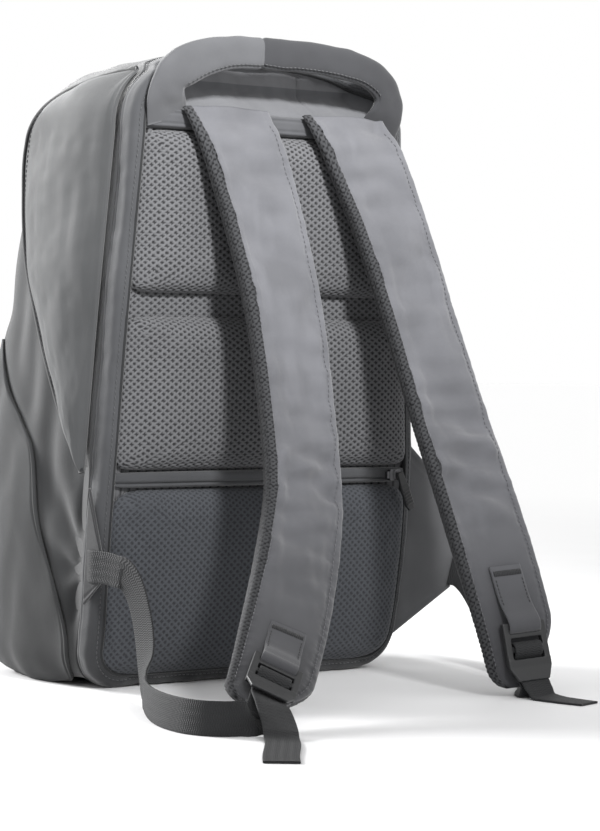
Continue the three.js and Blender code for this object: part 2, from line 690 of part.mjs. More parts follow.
function straps() {
  for (const [side, rows] of [["left", STRAP_LEFT], ["right", STRAP_RIGHT]]) {
    const frame = strapFrame(rows);
    const rings = Array.from({ length: STRAP_STEPS + 1 }, (unused, k) => {
      const { centre, across, out, width, thick } = frame.at(k / STRAP_STEPS);
      return bandRing(centre, across, out, width, thick, 10, 4);
    });
    add(`strap_${side}`, skin(rings), STRAP_CLOTH);

    const tabSteps = 4;
    const tab = Array.from({ length: tabSteps + 1 }, (unused, k) => {
      const distance = TAB_START + ((TAB_END - TAB_START) * k) / tabSteps;
      const { centre, across, out, thick } = frame.fromEnd(distance);
      const middle = centre.clone().addScaledVector(out, thick / 2 + GAP + TAB_THICKNESS / 2);
      return bandRing(middle, across, out, TAB_WIDTH, TAB_THICKNESS, 8, 8);
    });
    add(`strap_tab_${side}`, skin(tab), STRAP_CLOTH);

    const seat = frame.fromEnd(TAB_END - BUCKLE_CLEAR - BUCKLE_LENGTH / 2);
    const stand = (STRAP_THICKNESS + BUCKLE_THICKNESS) / 2 + BUCKLE_CLEAR;
    const buckle = add(`buckle_${side}`, buckleGeometry(), PLASTIC);
    const up = seat.ahead.clone().negate();
    const right = up.clone().cross(seat.out).normalize();
    buckle.setRotationFromMatrix(new THREE.Matrix4().makeBasis(right, up, seat.out));
    buckle.position.copy(seat.centre).addScaledVector(seat.out, stand);
  }
}

// Cloth triangle at the gusset seam: root on the side of the bag, tip where the webbing is sewn in
function anchorWings() {
  const thickness = 2.4;
  const wings = [
    {
      name: "anchor_wing_right",
      corners: [[141.8, -90, 174], [186, -97, 118], [178, -96, 84], [174, -96, 62], [142, -83.6, 34]],
    },
    {
      name: "anchor_wing_left",
      corners: [[-142.9, -87, 140], [-141.4, -99.6, 98], [-141.4, -99.6, 76], [-142.9, -82, 60]],
    },
  ];
  for (const { name, corners } of wings) {
    const points = corners.map((corner) => new THREE.Vector3(...corner));
    const face = points[1].clone().sub(points[0]).cross(points[3].clone().sub(points[0])).normalize();
    const shifted = (amount) => points.map((p) => p.clone().addScaledVector(face, amount));
    add(name, skin([shifted(-thickness / 2), shifted(thickness / 2)]), CLOTH);
  }
}

// Adjusting webbing on its way over the floor, one node for each run
function webbings() {
  for (const [name, route] of Object.entries(ROUTES)) {
    const curve = smoothLine(route);
    const steps = Math.round(1.5 * route.length);
    const rings = Array.from({ length: steps + 1 }, (unused, k) => {
      const share = k / steps;
      const ahead = curve.getTangent(share);
      const turned = ["x", "y", "z"].map((c) => along(ACROSS[name], "share", c, share));
      const across = new THREE.Vector3(...turned);
      across.addScaledVector(ahead, -across.dot(ahead)).normalize();
      const through = across.clone().cross(ahead).normalize();
      return bandRing(curve.getPoint(share), across, through, WEBBING_WIDTH, WEBBING_THICKNESS, 8, 8);
    });
    add(name, skin(rings), WEBBING);
  }
}

bodyShell();
zipGusset();
backPanel();
backPads();
topBand();
pocketZip();
sidePads();
frontPouch();
handle();
straps();
anchorWings();
webbings();

export default bag;
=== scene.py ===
"""Looks of the padded backpack: sewn cloth, air mesh pads, straps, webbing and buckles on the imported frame.

Shapes are worked out in millimetres, in the frame of the solids, and scaled to metres when a mesh is made.
"""
import math
from functools import cache

import bpy
import numpy as np
from mathutils import Matrix, Vector, noise


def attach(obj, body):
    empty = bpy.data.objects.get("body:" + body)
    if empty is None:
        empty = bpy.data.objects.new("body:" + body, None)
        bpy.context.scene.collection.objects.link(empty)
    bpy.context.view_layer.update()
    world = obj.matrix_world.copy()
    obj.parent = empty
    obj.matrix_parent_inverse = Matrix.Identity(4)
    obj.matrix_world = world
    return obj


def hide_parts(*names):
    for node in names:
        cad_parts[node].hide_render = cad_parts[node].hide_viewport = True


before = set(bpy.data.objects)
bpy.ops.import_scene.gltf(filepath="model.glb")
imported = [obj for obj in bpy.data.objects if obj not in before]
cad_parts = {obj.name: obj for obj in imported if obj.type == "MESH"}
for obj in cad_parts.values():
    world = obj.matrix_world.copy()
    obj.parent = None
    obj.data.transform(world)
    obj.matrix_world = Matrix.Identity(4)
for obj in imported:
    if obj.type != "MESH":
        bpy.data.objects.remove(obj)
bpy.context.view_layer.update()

MM = 0.001
SIDES = ("left", "right")

# Sizes shared with the solids
BASE_ROUND = 30
TOP_START = 385
TOP_RISE = 61
TOP_POWER = 2.6
MID_HEIGHT = 240
GUSSET_DEPTH = 16
GUSSET_LIP = 9
GUSSET_ROUND = 7
PANEL_SEAT = 2.4
PAD_THICKNESS = 10.6
RECESS_DEPTH = 22
RECESS_LOW = 399
RECESS_HIGH = 420
RECESS_HALF = 82
RECESS_END = 106
STRAP_THICKNESS = 11
WEBBING_WIDTH = 22
WEBBING_THICKNESS = 1.6
TAB_START = 84
TAB_END = 45
TAB_WIDTH = 25
BUCKLE_WIDTH = 34
BUCKLE_LENGTH = 36
BUCKLE_THICKNESS = 5
BUCKLE_CLEAR = 1.4
SKIN_GAP = 0.8
HANDLE_HALF = 103
HANDLE_FOOT = 405
HANDLE_RISE = 40


def table(columns, *rows):
    """Rows of a short table, with named columns."""
    names = columns.split()
    return [dict(zip(names, row)) for row in rows]


RIM_SIDE = table("z half", (30, 139), (90, 141), (150, 140), (260, 133), (385, 122))
REAR_FACE = table("z y", (0, -78), (50, -89), (145, -98), (270, -101), (400, -102), (460, -102))
FRONT_FACE = table("z y", (0, 72), (60, 85), (130, 84), (225, 72), (300, 64), (390, 60), (460, 42))
BODY_RUN = table(
    "run depth width upper lower",
    (0, 0, 1, 1, 1),
    (0.2, 0.18, 1.014, 0.999, 1),
    (0.4, 0.38, 1.016, 0.994, 1),
    (0.6, 0.58, 1.004, 0.984, 1),
    (0.75, 0.74, 0.978, 0.965, 1),
    (0.85, 0.86, 0.935, 0.935, 0.975),
    (0.92, 0.94, 0.865, 0.875, 0.92),
    (0.96, 0.985, 0.74, 0.75, 0.8),
    (0.985, 1, 0.45, 0.45, 0.5),
)
PIPED_SEAM = table(
    "z run",
    (150, 0.03), (182, 0.19), (258, 0.5), (300, 0.66), (345, 0.75), (388, 0.78), (408, 0.66), (420, 0.36),
    (426, 0.03),
)
POUCH_SEAM = table(
    "z run",
    (0, 0.85), (2, 0.85), (2.6, 0.7), (3.3, 0.5), (4.2, 0.3), (5.5, 0.14), (8, 0.09), (16, 0.07),
    (33, 0.08), (65, 0.18), (113, 0.34), (163, 0.43), (183, 0.55), (208, 0.72), (240, 0.85),
)
STRAP_COLUMNS = "x y z width thick tilt"
STRAP_ROWS = {
    "right": table(
        STRAP_COLUMNS,
        (57, -107.9, 402, 74, 5, 0),
        (66, -117.5, 380, 71, 10, 0),
        (82, -127, 338, 68, STRAP_THICKNESS, 0),
        (97, -148, 265, 66, STRAP_THICKNESS, 0),
        (104, -178, 188, 66, STRAP_THICKNESS, 3),
        (106, -207, 130, 66, STRAP_THICKNESS, 6),
        (106, -234, 74, 64, STRAP_THICKNESS, 9),
        (107, -248, 38, 60, 10, 11),
        (108, -255, 6.8, 52, 8, 12),
    ),
    "left": table(
        STRAP_COLUMNS,
        (-48, -107.9, 402, 74, 5, 0),
        (-42, -117.5, 380, 71, 10, 0),
        (-33, -129, 338, 68, STRAP_THICKNESS, 0),
        (-26, -148, 270, 65, STRAP_THICKNESS, 0),
        (-26, -165, 202, 64, STRAP_THICKNESS, -2),
        (-38, -190, 136, 64, STRAP_THICKNESS, -4),
        (-68, -219, 86, 63, STRAP_THICKNESS, -4),
        (-104, -250, 47, 60, STRAP_THICKNESS, -3),
        (-131, -274, 25.4, 56, 10, -2),
        (-153, -293, 12.8, 52, 8, -1),
    ),
}
# Share of the way down each strap where it bends and wrinkles
STRAP_BEND = {"left": 0.55, "right": 0.62}

# Webbing from the anchor wing to the buckle, then from the buckle to the free end.
# The left one starts with a lap that is sewn to its wing.
ROUTES = {
    "left": (
        [
            (-142.6, -85, 87), (-144.4, -93, 87), (-142.6, -100.5, 87), (-140.5, -109, 86.4),
            (-139.2, -117, 85), (-138.4, -121, 84.8), (-137, -127, 80.5), (-135.6, -132.5, 72),
            (-134.8, -137, 61), (-134.8, -141, 50), (-136, -145, 39), (-138.6, -149.5, 28.5),
            (-143.5, -156, 20), (-151, -166, 14.5), (-160.5, -179.5, 12.4), (-171, -195.5, 12),
            (-181, -212.5, 12), (-190, -230.5, 12), (-197, -249, 12), (-201, -267, 12),
            (-201.5, -283, 12), (-197, -296, 12), (-188.5, -304.5, 12), (-178.5, -308, 11.8),
            (-169.4, -307.6, 9.8), (-161.2, -303.6, 11), (-153.7, -298, 16.2),
        ],
        [
            (-154.5, -307, 17.4), (-158.5, -316, 13), (-163.5, -326, 8), (-170, -336.5, 4),
            (-178, -348, 2.2), (-187.5, -360, 2), (-197.5, -372, 2), (-207.5, -384, 2),
            (-217, -396, 2), (-226, -408, 2),
        ],
    ),
    "right": (
        [
            (177.6, -97.2, 72.6), (184, -101.5, 70.5), (189, -107, 64), (192, -114, 54), (193, -122, 42),
            (192, -131, 30), (190, -141, 18.5), (187, -152, 9.5), (182, -165, 4), (174, -181, 2.1),
            (164, -198, 2), (152, -215, 2), (139, -231, 2), (126, -244, 2), (115, -253.5, 2),
            (109, -260.5, 2.2), (107, -265.2, 4.8), (106.5, -265.8, 9.4),
        ],
        [
            (106, -268, 11.6), (106.2, -270.6, 8), (106.5, -274, 4.8), (107, -279, 2.8), (107.8, -285, 2),
            (109, -292, 2), (110.4, -299, 2), (112, -306, 2), (114, -313, 2),
        ],
    ),
}
# Direction across the webbing at points of its two routes
ACROSS_COLUMNS = "point x y z"
ACROSS = {
    "left": (
        table(
            ACROSS_COLUMNS,
            (0, 0, 0, 1), (4, 0, 0, 1), (9, 0, -0.93, 0.35), (14, 0, 0, 1), (22, 0, 0, 1),
            (24, -0.5, 0.45, 0.72), (25, -0.72, 0.6, 0.33), (26, -0.72, 0.55, 0.41),
        ),
        table(ACROSS_COLUMNS, (0, -0.8, 0.55, 0.25), (4, -0.86, 0.5, 0), (9, -0.8, 0.6, 0)),
    ),
    "right": (
        table(
            ACROSS_COLUMNS,
            (0, 0.18, 0, 0.98), (4, 0.75, -0.5, 0.4), (10, 0.79, -0.61, 0), (15, 0.96, -0.25, 0),
            (17, 0.98, -0.18, 0.07),
        ),
        table(ACROSS_COLUMNS, (0, 0.98, -0.18, 0.07), (8, 0.98, 0.2, 0)),
    ),
}
# Path of the webbing through a buckle: up along the strap, and out of it
BUCKLE_LOOP = [
    (-19, -3.5), (-12, -3.5), (-4, -3.5), (0.8, -3.3), (3.2, -2.2), (3.9, 0), (3, 2.2), (1, 3.3),
    (-0.8, 3.5), (-2.8, 3.2), (-4.6, 2), (-5.9, 0.2), (-7.4, -1.2), (-10.4, -1.6), (-18.5, -1.6),
]
# Each wing's root on the gusset and its outer edge, from the top down
WINGS = {
    "right": ([(139, -85, 172), (136.5, -77, 24)], [(190, -97.5, 118), (184, -96.6, 84), (178, -96, 60)]),
    "left": ([(-142.9, -87, 140), (-142.9, -82, 60)], [(-141.4, -99.6, 98), (-141.4, -99.6, 76)]),
}

# Scales of x, y and z that draw unevenness out into upright folds
UPRIGHT_FOLDS = np.array([1, 1, 0.4])


# Shape helpers, in millimetres


def along(rows, key, column, at):
    """Smooth value of one column of a table at a place along another column."""
    last = len(rows) - 1
    held = min(max(at, rows[0][key]), rows[last][key])
    k = 0
    while k < last - 1 and held > rows[k + 1][key]:
        k += 1

    def slope(i):
        a = rows[max(i - 1, 0)]
        b = rows[min(i + 1, last)]
        return (b[column] - a[column]) / (b[key] - a[key])

    step = rows[k + 1][key] - rows[k][key]
    t = (held - rows[k][key]) / step
    start = rows[k][column]
    rise = rows[k + 1][column] - start
    ease_in = step * slope(k) - rise
    ease_out = rise - step * slope(k + 1)
    return start + t * rise + t * (1 - t) * ((1 - t) * ease_in + t * ease_out)


def smoothstep(value, low, high):
    t = np.clip((value - low) / (high - low), 0.0, 1.0)
    return t * t * (3 - 2 * t)


def ramp(value, length):
    """Rises evenly from 0 to 1 while the value goes from 0 to a length."""
    return np.clip(value / length, 0, 1)


def bell(value, middle, width):
    """Smooth hump of height one round a middle value."""
    return np.exp(-((value - middle) / width) ** 2)


def unit(vector):
    return vector / np.linalg.norm(vector)


def units(vectors):
    """Vectors of a grid, each scaled to length one."""
    return vectors / np.maximum(np.linalg.norm(vectors, axis=2, keepdims=True), 1e-9)


def square_to(vector, ahead):
    """Unit vector nearest to a vector that stands square to a direction."""
    return unit(vector - ahead * np.dot(vector, ahead))


def run_along(points):
    """Distance from the first point of a line to each of its points."""
    return np.concatenate([[0], np.cumsum(np.linalg.norm(np.diff(points, axis=0), axis=1))])


def superellipse(angles, power):
    """Points round a rounded square from -1 to 1: shares across and through."""
    cosine, sine = np.cos(angles), np.sin(angles)
    return np.sign(cosine) * np.abs(cosine) ** (2 / power), np.sign(sine) * np.abs(sine) ** (2 / power)


def unevenness(points, scale, seed):
    """Smooth repeatable unevenness, from about -1 to 1, over a grid of points, for folds and wrinkles."""
    flat = points.reshape(-1, 3) / scale
    values = [noise.noise(Vector((x + seed, y, z))) for x, y, z in flat]
    return np.array(values).reshape(points.shape[:2])


class Line:
    """Smooth line through points."""

    def __init__(self, points):
        self.points = [np.array(p, float) for p in points]
        steps = 40 * len(points)
        self.shares = np.linspace(0, 1, steps + 1)
        self.runs = run_along([self.at(t) for t in self.shares])
        self.length = self.runs[-1]

    def at(self, t):
        last = len(self.points) - 1
        number = min(max(t, 0.0), 1.0) * last
        k = min(int(number), last - 1)
        w = number - k
        p1 = self.points[k]
        p2 = self.points[k + 1]
        p0 = self.points[k - 1] if k > 0 else 2 * p1 - p2
        p3 = self.points[k + 2] if k + 2 <= last else 2 * p2 - p1
        d0, d1, d2 = (max(np.linalg.norm(b - a) ** 0.5, 1e-4) for a, b in ((p0, p1), (p1, p2), (p2, p3)))
        m1 = ((p1 - p0) / d0 - (p2 - p0) / (d0 + d1) + (p2 - p1) / d1) * d1
        m2 = ((p2 - p1) / d1 - (p3 - p1) / (d1 + d2) + (p3 - p2) / d2) * d1
        w2 = w * w
        w3 = w2 * w
        ends = (2 * w3 - 3 * w2 + 1) * p1 + (w3 - 2 * w2 + w) * m1
        return ends + (3 * w2 - 2 * w3) * p2 + (w3 - w2) * m2

    def ahead(self, t):
        return unit(self.at(min(t + 1e-4, 1)) - self.at(max(t - 1e-4, 0)))

    def share_at(self, run):
        """Share of the line's points at a distance from its start."""
        return float(np.interp(run, self.runs, self.shares))

    def even(self, spacing):
        """Shares of points that lie evenly along the line."""
        count = max(int(round(self.length / spacing)), 2)
        return [self.share_at(self.length * k / count) for k in range(count + 1)]


def half_outline():
    """Right half of the back outline, from the middle of the base to the crown."""
    base_steps, corner_steps, side_steps, arch_steps = 8, 14, 40, 30
    corner = RIM_SIDE[0]["half"] - BASE_ROUND
    points = [(corner * k / base_steps, 0) for k in range(base_steps)]
    for k in range(corner_steps + 1):
        a = (math.pi / 2) * (k / corner_steps - 1)
        points.append((corner + BASE_ROUND * math.cos(a), BASE_ROUND + BASE_ROUND * math.sin(a)))
    for z in np.linspace(BASE_ROUND, TOP_START, side_steps)[1:]:
        points.append((along(RIM_SIDE, "z", "half", z), z))
    top = RIM_SIDE[-1]["half"]
    for k in range(1, arch_steps + 1):
        a = (math.pi / 2) * (k / arch_steps)
        out = max(math.cos(a), 0) ** (2 / TOP_POWER)
        points.append((top * out, TOP_START + TOP_RISE * math.sin(a) ** (2 / TOP_POWER)))
    return np.array(points, float)


HALF_OUTLINE = half_outline()
OUTLINE_RUN = run_along(HALF_OUTLINE)


def outline_point(turn):
    """Point of the back outline: turn 0 at the middle of the base, 0.5 at the crown, +X first."""
    t = turn % 1
    share = 2 * t if t <= 0.5 else 2 * (1 - t)
    run = share * OUTLINE_RUN[-1]
    x = np.interp(run, OUTLINE_RUN, HALF_OUTLINE[:, 0])
    z = np.interp(run, OUTLINE_RUN, HALF_OUTLINE[:, 1])
    return np.array([x if t <= 0.5 else -x, z])


def outline_offset(turn, out):
    """Point of the back outline moved outwards."""
    reach = 0.006
    tangent = unit(outline_point(turn + reach) - outline_point(turn - reach))
    return outline_point(turn) + out * np.array([tangent[1], -tangent[0]])


def turn_at_height(z):
    """Place along the outline, on the +X side, that lies at a height."""
    low, high = 0.02, 0.5
    for _ in range(40):
        middle = (low + high) / 2
        if outline_point(middle)[1] < z:
            low = middle
        else:
            high = middle
    return (low + high) / 2


def rear_face(x, z):
    """The back face, with the dent under the handle."""
    across = 1 - smoothstep(abs(x), RECESS_HALF, RECESS_END)
    return along(REAR_FACE, "z", "y", z) + RECESS_DEPTH * across * smoothstep(z, RECESS_LOW, RECESS_HIGH)


def edge_point(turn, inset, depth):
    """Point near the edge of the back: inset from the outline, depth behind the back face."""
    edge = outline_point(turn)
    p = outline_offset(turn, -inset)
    share = smoothstep(inset, 2.4, GUSSET_LIP)
    rear = (1 - share) * rear_face(*edge) + share * rear_face(*p)
    return np.array([p[0], rear + depth, p[1]])


def body_point(turn, run, over):
    """Point of the main form: turn round the outline, run from gusset to front, height over the cloth."""
    last = BODY_RUN[-1]["run"]
    names = ("width", "upper", "lower", "depth")
    width, upper, lower, depth = (along(BODY_RUN, "run", name, run) for name in names)
    if run > last:
        left = (1 - run) / (1 - last)
        width, upper, lower = width * left, upper * left, lower * left
    cloth = outline_point(turn)
    lift = upper if cloth[1] > MID_HEIGHT else lower
    level_x = cloth[0] * width
    level_z = MID_HEIGHT + (cloth[1] - MID_HEIGHT) * lift
    rear = rear_face(level_x, level_z) + GUSSET_DEPTH
    front = along(FRONT_FACE, "z", "y", level_z)
    moved = outline_offset(turn, over)
    x = moved[0] * width
    z = MID_HEIGHT + (moved[1] - MID_HEIGHT) * lift
    return np.array([x, rear + (front - rear + over) * depth, z])


@cache
def strap_frame(side):
    """Middle line, directions and sizes along a strap, as a function of the share of its points."""
    rows = STRAP_ROWS[side]
    line = Line([(row["x"], row["y"], row["z"]) for row in rows])
    keyed = [dict(row, k=k) for k, row in enumerate(rows)]

    def at(t):
        k = t * (len(rows) - 1)
        ahead = line.ahead(t)
        square = smoothstep(t, 0.02, 0.2)
        across = unit(np.array([1.0, 0, 0]) - ahead * ahead[0] * square)
        tilt = math.radians(along(keyed, "k", "tilt", k))
        across = np.array(Matrix.Rotation(tilt, 3, Vector(ahead)) @ Vector(across))
        out = unit(np.cross(ahead, across))
        if out[1] > 0:
            out = -out
        sizes = {name: along(keyed, "k", name, k) for name in ("width", "thick")}
        return dict(centre=line.at(t), ahead=ahead, across=across, out=out, **sizes)

    return line, at


def strap_from_end(side, distance):
    line, at = strap_frame(side)
    return at(line.share_at(line.length - distance))


def strap_surface(side, distance, over):
    """Point on the strap's outer face at a distance from its end, with a height over it."""
    seat = strap_from_end(side, distance)
    return seat["centre"] + seat["out"] * (seat["thick"] / 2 + over)


def buckle_frame(side):
    """Middle and directions of a buckle: right, up along the strap, and out of the strap."""
    seat = strap_from_end(side, TAB_END - BUCKLE_CLEAR - BUCKLE_LENGTH / 2)
    stand = (STRAP_THICKNESS + BUCKLE_THICKNESS) / 2 + BUCKLE_CLEAR
    up = -seat["ahead"]
    right = unit(np.cross(up, seat["out"]))
    return seat["centre"] + stand * seat["out"], right, up, seat["out"]


# Making meshes


class Shape:
    """Vertices, faces and cloth coordinates of a piece while it is put together."""

    def __init__(self):
        self.points = []
        self.count = 0
        self.faces = []
        self.uvs = []
        self.slots = []
        self.relief = []

    def grid(self, points, uv=None, wrap=False, flip=False, slot=0, relief=None):
        """Surface through a grid of points. Slot is one number, or one for each quad. Returns its rim."""
        points = np.asarray(points, float)
        rows, cols = points.shape[:2]
        if uv is None:
            uv = cloth_uv(points, wrap)
        start = self.count
        self.count += rows * cols
        self.points.append(points.reshape(-1, 3))
        self.relief.append(np.ones(rows * cols) if relief is None else np.ravel(relief))
        span = cols if wrap else cols - 1
        i, j = (a.ravel() for a in np.meshgrid(np.arange(rows - 1), np.arange(span), indexing="ij"))
        corners = [(i, j), (i, j + 1), (i + 1, j + 1), (i + 1, j)]
        if flip:
            corners.reverse()
        quads = np.stack([start + r * cols + c % cols for r, c in corners], axis=1)
        self.faces.extend(map(tuple, quads.tolist()))
        self.uvs.append(np.stack([uv[r, c] for r, c in corners], axis=1).reshape(-1, 2))
        self.slots.extend(np.broadcast_to(slot, (rows - 1, span)).ravel().tolist())
        number = start + np.arange(rows * cols).reshape(rows, cols)
        if wrap:
            return number[0].tolist(), number[-1].tolist()
        return [*number[0], *number[1:, -1], *number[-1, -2::-1], *number[-2:0:-1, 0]]

    def between(self, one, two, slot=0):
        """Strip of quads between two closed loops of vertices."""
        points = np.concatenate(self.points)
        count = len(one)
        run = run_along(points[[*one, one[0]]])
        height = float(np.linalg.norm(points[one[0]] - points[two[0]]))
        for k in range(count):
            n = (k + 1) % count
            self.faces.append((int(one[k]), int(one[n]), int(two[n]), int(two[k])))
            self.uvs.append([(run[k], 0), (run[k + 1], 0), (run[k + 1], height), (run[k], height)])
            self.slots.append(slot)

    def cap(self, loop, slot=0):
        """One flat face that closes a loop."""
        points = np.concatenate(self.points)[list(loop)]
        self.faces.append(tuple(int(k) for k in loop))
        self.uvs.append(points[:, [0, 2]])
        self.slots.append(slot)

    def slab(self, top, under, slot=0, under_slot=0, relief=None, uv=None):
        """Closed layer between two grids of the same size."""
        one = self.grid(top, slot=slot, relief=relief, uv=uv)
        two = self.grid(under, flip=True, slot=under_slot)
        self.between(two, one, slot=under_slot)

    def tube(self, rings, slot=0, relief=None, uv=None):
        """Closed tube through rings of points, with flat ends."""
        first, last = self.grid(rings, wrap=True, slot=slot, relief=relief, uv=uv)
        end_slot = int(np.ravel(slot)[0])
        self.cap(first, end_slot)
        self.cap(last[::-1], end_slot)

    def hoop(self, rings):
        """Closed ring through rings of points, the last joined to the first."""
        first, last = self.grid(rings, wrap=True)
        self.between(last, first)

    def piece(self, name, materials, closed=True):
        """The finished object, smooth shaded, with its materials. A closed one stays above the floor."""
        lowest = 0.05
        points = np.concatenate(self.points)
        if closed:
            points[:, 2] = np.maximum(points[:, 2], lowest)
        mesh = bpy.data.meshes.new(name)
        mesh.from_pydata((points * MM).tolist(), [], self.faces)
        layer = mesh.uv_layers.new(name="cloth")
        layer.data.foreach_set("uv", (np.concatenate(self.uvs) * MM).ravel())
        for material in materials:
            mesh.materials.append(material)
        mesh.polygons.foreach_set("material_index", self.slots)
        mesh.polygons.foreach_set("use_smooth", [True] * len(self.faces))
        attribute = mesh.attributes.new("relief", "FLOAT", "POINT")
        attribute.data.foreach_set("value", np.concatenate(self.relief))
        if closed:
            outward(mesh)
        piece = bpy.data.objects.new(name, mesh)
        bpy.context.scene.collection.objects.link(piece)
        return piece


def outward(mesh):
    """Turns a closed mesh inside out if it encloses less than nothing."""
    mesh.calc_loop_triangles()
    places = np.empty(len(mesh.vertices) * 3)
    mesh.vertices.foreach_get("co", places)
    corners = np.empty(len(mesh.loop_triangles) * 3, int)
    mesh.loop_triangles.foreach_get("vertices", corners)
    a, b, c = (places.reshape(-1, 3)[corners.reshape(-1, 3)[:, k]] for k in range(3))
    if np.einsum("ij,ij->i", a, np.cross(b, c)).sum() < 0:
        mesh.flip_normals()


def cloth_uv(points, wrap=False):
    """Cloth coordinates: distance along each row from its middle, and along the rows' mean."""
    if wrap:
        points = np.concatenate([points, points[:, :1]], axis=1)
    across = np.linalg.norm(np.diff(points, axis=1), axis=2)
    u = np.concatenate([np.zeros((len(points), 1)), np.cumsum(across, axis=1)], axis=1)
    u -= u[:, u.shape[1] // 2][:, None]
    down = np.linalg.norm(np.diff(points, axis=0), axis=2).mean(axis=1)
    v = np.concatenate([[0], np.cumsum(down)])
    return np.stack([u, np.broadcast_to(v[:, None], u.shape)], axis=2)


def grid_normals(points):
    """Unit normals of a grid of points, pointing as columns cross rows."""
    return units(np.cross(np.gradient(points, axis=1), np.gradient(points, axis=0)))


def resample(grid, rows, cols):
    """A grid of values with another number of rows and columns."""
    old_rows, old_cols = grid.shape[:2]
    i = np.linspace(0, old_rows - 1, rows)
    j = np.linspace(0, old_cols - 1, cols)
    i0 = np.minimum(i.astype(int), old_rows - 2)
    j0 = np.minimum(j.astype(int), old_cols - 2)
    wi = (i - i0)[:, None, None]
    wj = (j - j0)[None, :, None]
    upper = grid[i0][:, j0] * (1 - wj) + grid[i0][:, j0 + 1] * wj
    lower = grid[i0 + 1][:, j0] * (1 - wj) + grid[i0 + 1][:, j0 + 1] * wj
    return upper * (1 - wi) + lower * wi


def swell(points, pressure, cap):
    """A grid of cloth, held at its border, after air has pushed it out, no point moved further than cap."""
    shape = Shape()
    border = shape.grid(points)
    sheet = shape.piece("swelling_cloth", [], closed=False)
    group = sheet.vertex_groups.new(name="held")
    group.add([int(k) for k in sorted(border)], 1.0, "REPLACE")
    cloth = sheet.modifiers.new("air", "CLOTH")
    settings = cloth.settings
    settings.vertex_group_mass = group.name
    settings.quality = 6
    settings.mass = 0.004
    settings.tension_stiffness = 12
    settings.compression_stiffness = 12
    settings.shear_stiffness = 4
    settings.bending_stiffness = 0.4
    settings.use_pressure = True
    settings.uniform_pressure_force = pressure
    settings.effector_weights.gravity = 0
    scene = bpy.context.scene
    frames = 20
    for number in range(1, frames + 1):
        scene.frame_set(number)
    grown = sheet.evaluated_get(bpy.context.evaluated_depsgraph_get()).to_mesh()
    places = np.empty(len(grown.vertices) * 3)
    grown.vertices.foreach_get("co", places)
    scene.frame_set(1)
    mesh = sheet.data
    bpy.data.objects.remove(sheet)
    bpy.data.meshes.remove(mesh)
    moved = places.reshape(points.shape) / MM - points
    size = np.linalg.norm(moved, axis=2, keepdims=True)
    return points + moved * np.minimum(1, cap / np.maximum(size, 1e-9))


def swollen(coarse, rows, cols, pressure, cap):
    """How far each point of a finer grid moves when the coarse grid of cloth is blown up."""
    return resample(swell(coarse, pressure, cap) - coarse, rows, cols)


def place(piece, nodes):
    """Puts a piece on the frame in the place of solids."""
    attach(piece, "root")
    if nodes:
        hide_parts(*nodes)
    return piece


# Materials


def node(tree, kind, inputs=None, **values):
    """A shader node with settings, and with numbers, colours or links on its inputs."""
    made = tree.nodes.new(kind)
    for name, value in values.items():
        setattr(made, name, value)
    for name, value in (inputs or {}).items():
        if isinstance(value, bpy.types.NodeSocket):
            tree.links.new(value, made.inputs[name])
        else:
            made.inputs[name].default_value = value
    return made


def coordinate(tree, kind):
    return node(tree, "ShaderNodeTexCoord").outputs[kind]


def math_node(tree, operation, *values):
    return node(tree, "ShaderNodeMath", dict(enumerate(values)), operation=operation).outputs[0]


def scaled(tree, value, factor):
    return math_node(tree, "MULTIPLY", value, factor)


def speckle(tree, where, scale, detail):
    """Noise between 0 and 1 at a place."""
    inputs = {"Vector": where, "Scale": scale, "Detail": detail}
    return node(tree, "ShaderNodeTexNoise", inputs).outputs["Fac"]


def remap(tree, value, low, high, to_low=0.0, to_high=1.0):
    """A value carried from one range over to another, and held inside it."""
    inputs = {"Value": value, 1: low, 2: high, 3: to_low, 4: to_high}
    return node(tree, "ShaderNodeMapRange", inputs).outputs[0]


def wave(tree, value, period):
    """Sine of a cloth coordinate given in metres."""
    return math_node(tree, "SINE", scaled(tree, value, 2 * math.pi / period))


def shade(colour, factor):
    return tuple(c * factor for c in colour)


def blend_colour(tree, share, one, two):
    mixed = node(tree, "ShaderNodeMix", {"Factor": share}, data_type="RGBA")
    for socket, value in ((6, one), (7, two)):
        if isinstance(value, bpy.types.NodeSocket):
            tree.links.new(value, mixed.inputs[socket])
        else:
            mixed.inputs[socket].default_value = (*value, 1)
    return mixed.outputs[2]


def new_material(name, roughness, sheen=0.0, metallic=0.0, specular=0.5):
    material = bpy.data.materials.new(name)
    material.use_nodes = True
    shader = material.node_tree.nodes["Principled BSDF"]
    shader.inputs["Roughness"].default_value = roughness
    shader.inputs["Metallic"].default_value = metallic
    shader.inputs["Specular IOR Level"].default_value = specular
    shader.inputs["Sheen Weight"].default_value = sheen
    shader.inputs["Sheen Roughness"].default_value = 0.45
    return material, material.node_tree, shader


def worn_edges(tree, colour, worn, strength):
    """Lightens sharp ridges, where cloth rubs."""
    point = node(tree, "ShaderNodeNewGeometry").outputs["Pointiness"]
    return blend_colour(tree, remap(tree, point, 0.51, 0.58, 0.0, strength), colour, worn)


def finish_shader(tree, shader, colour, height, strength, distance, rough=None):
    """Links a colour, small relief in the shading and, where given, an uneven roughness."""
    tree.links.new(colour, shader.inputs["Base Color"])
    if rough is not None:
        tree.links.new(rough, shader.inputs["Roughness"])
    lumps = node(tree, "ShaderNodeBump", {"Height": height, "Strength": strength, "Distance": distance})
    tree.links.new(lumps.outputs[0], shader.inputs["Normal"])


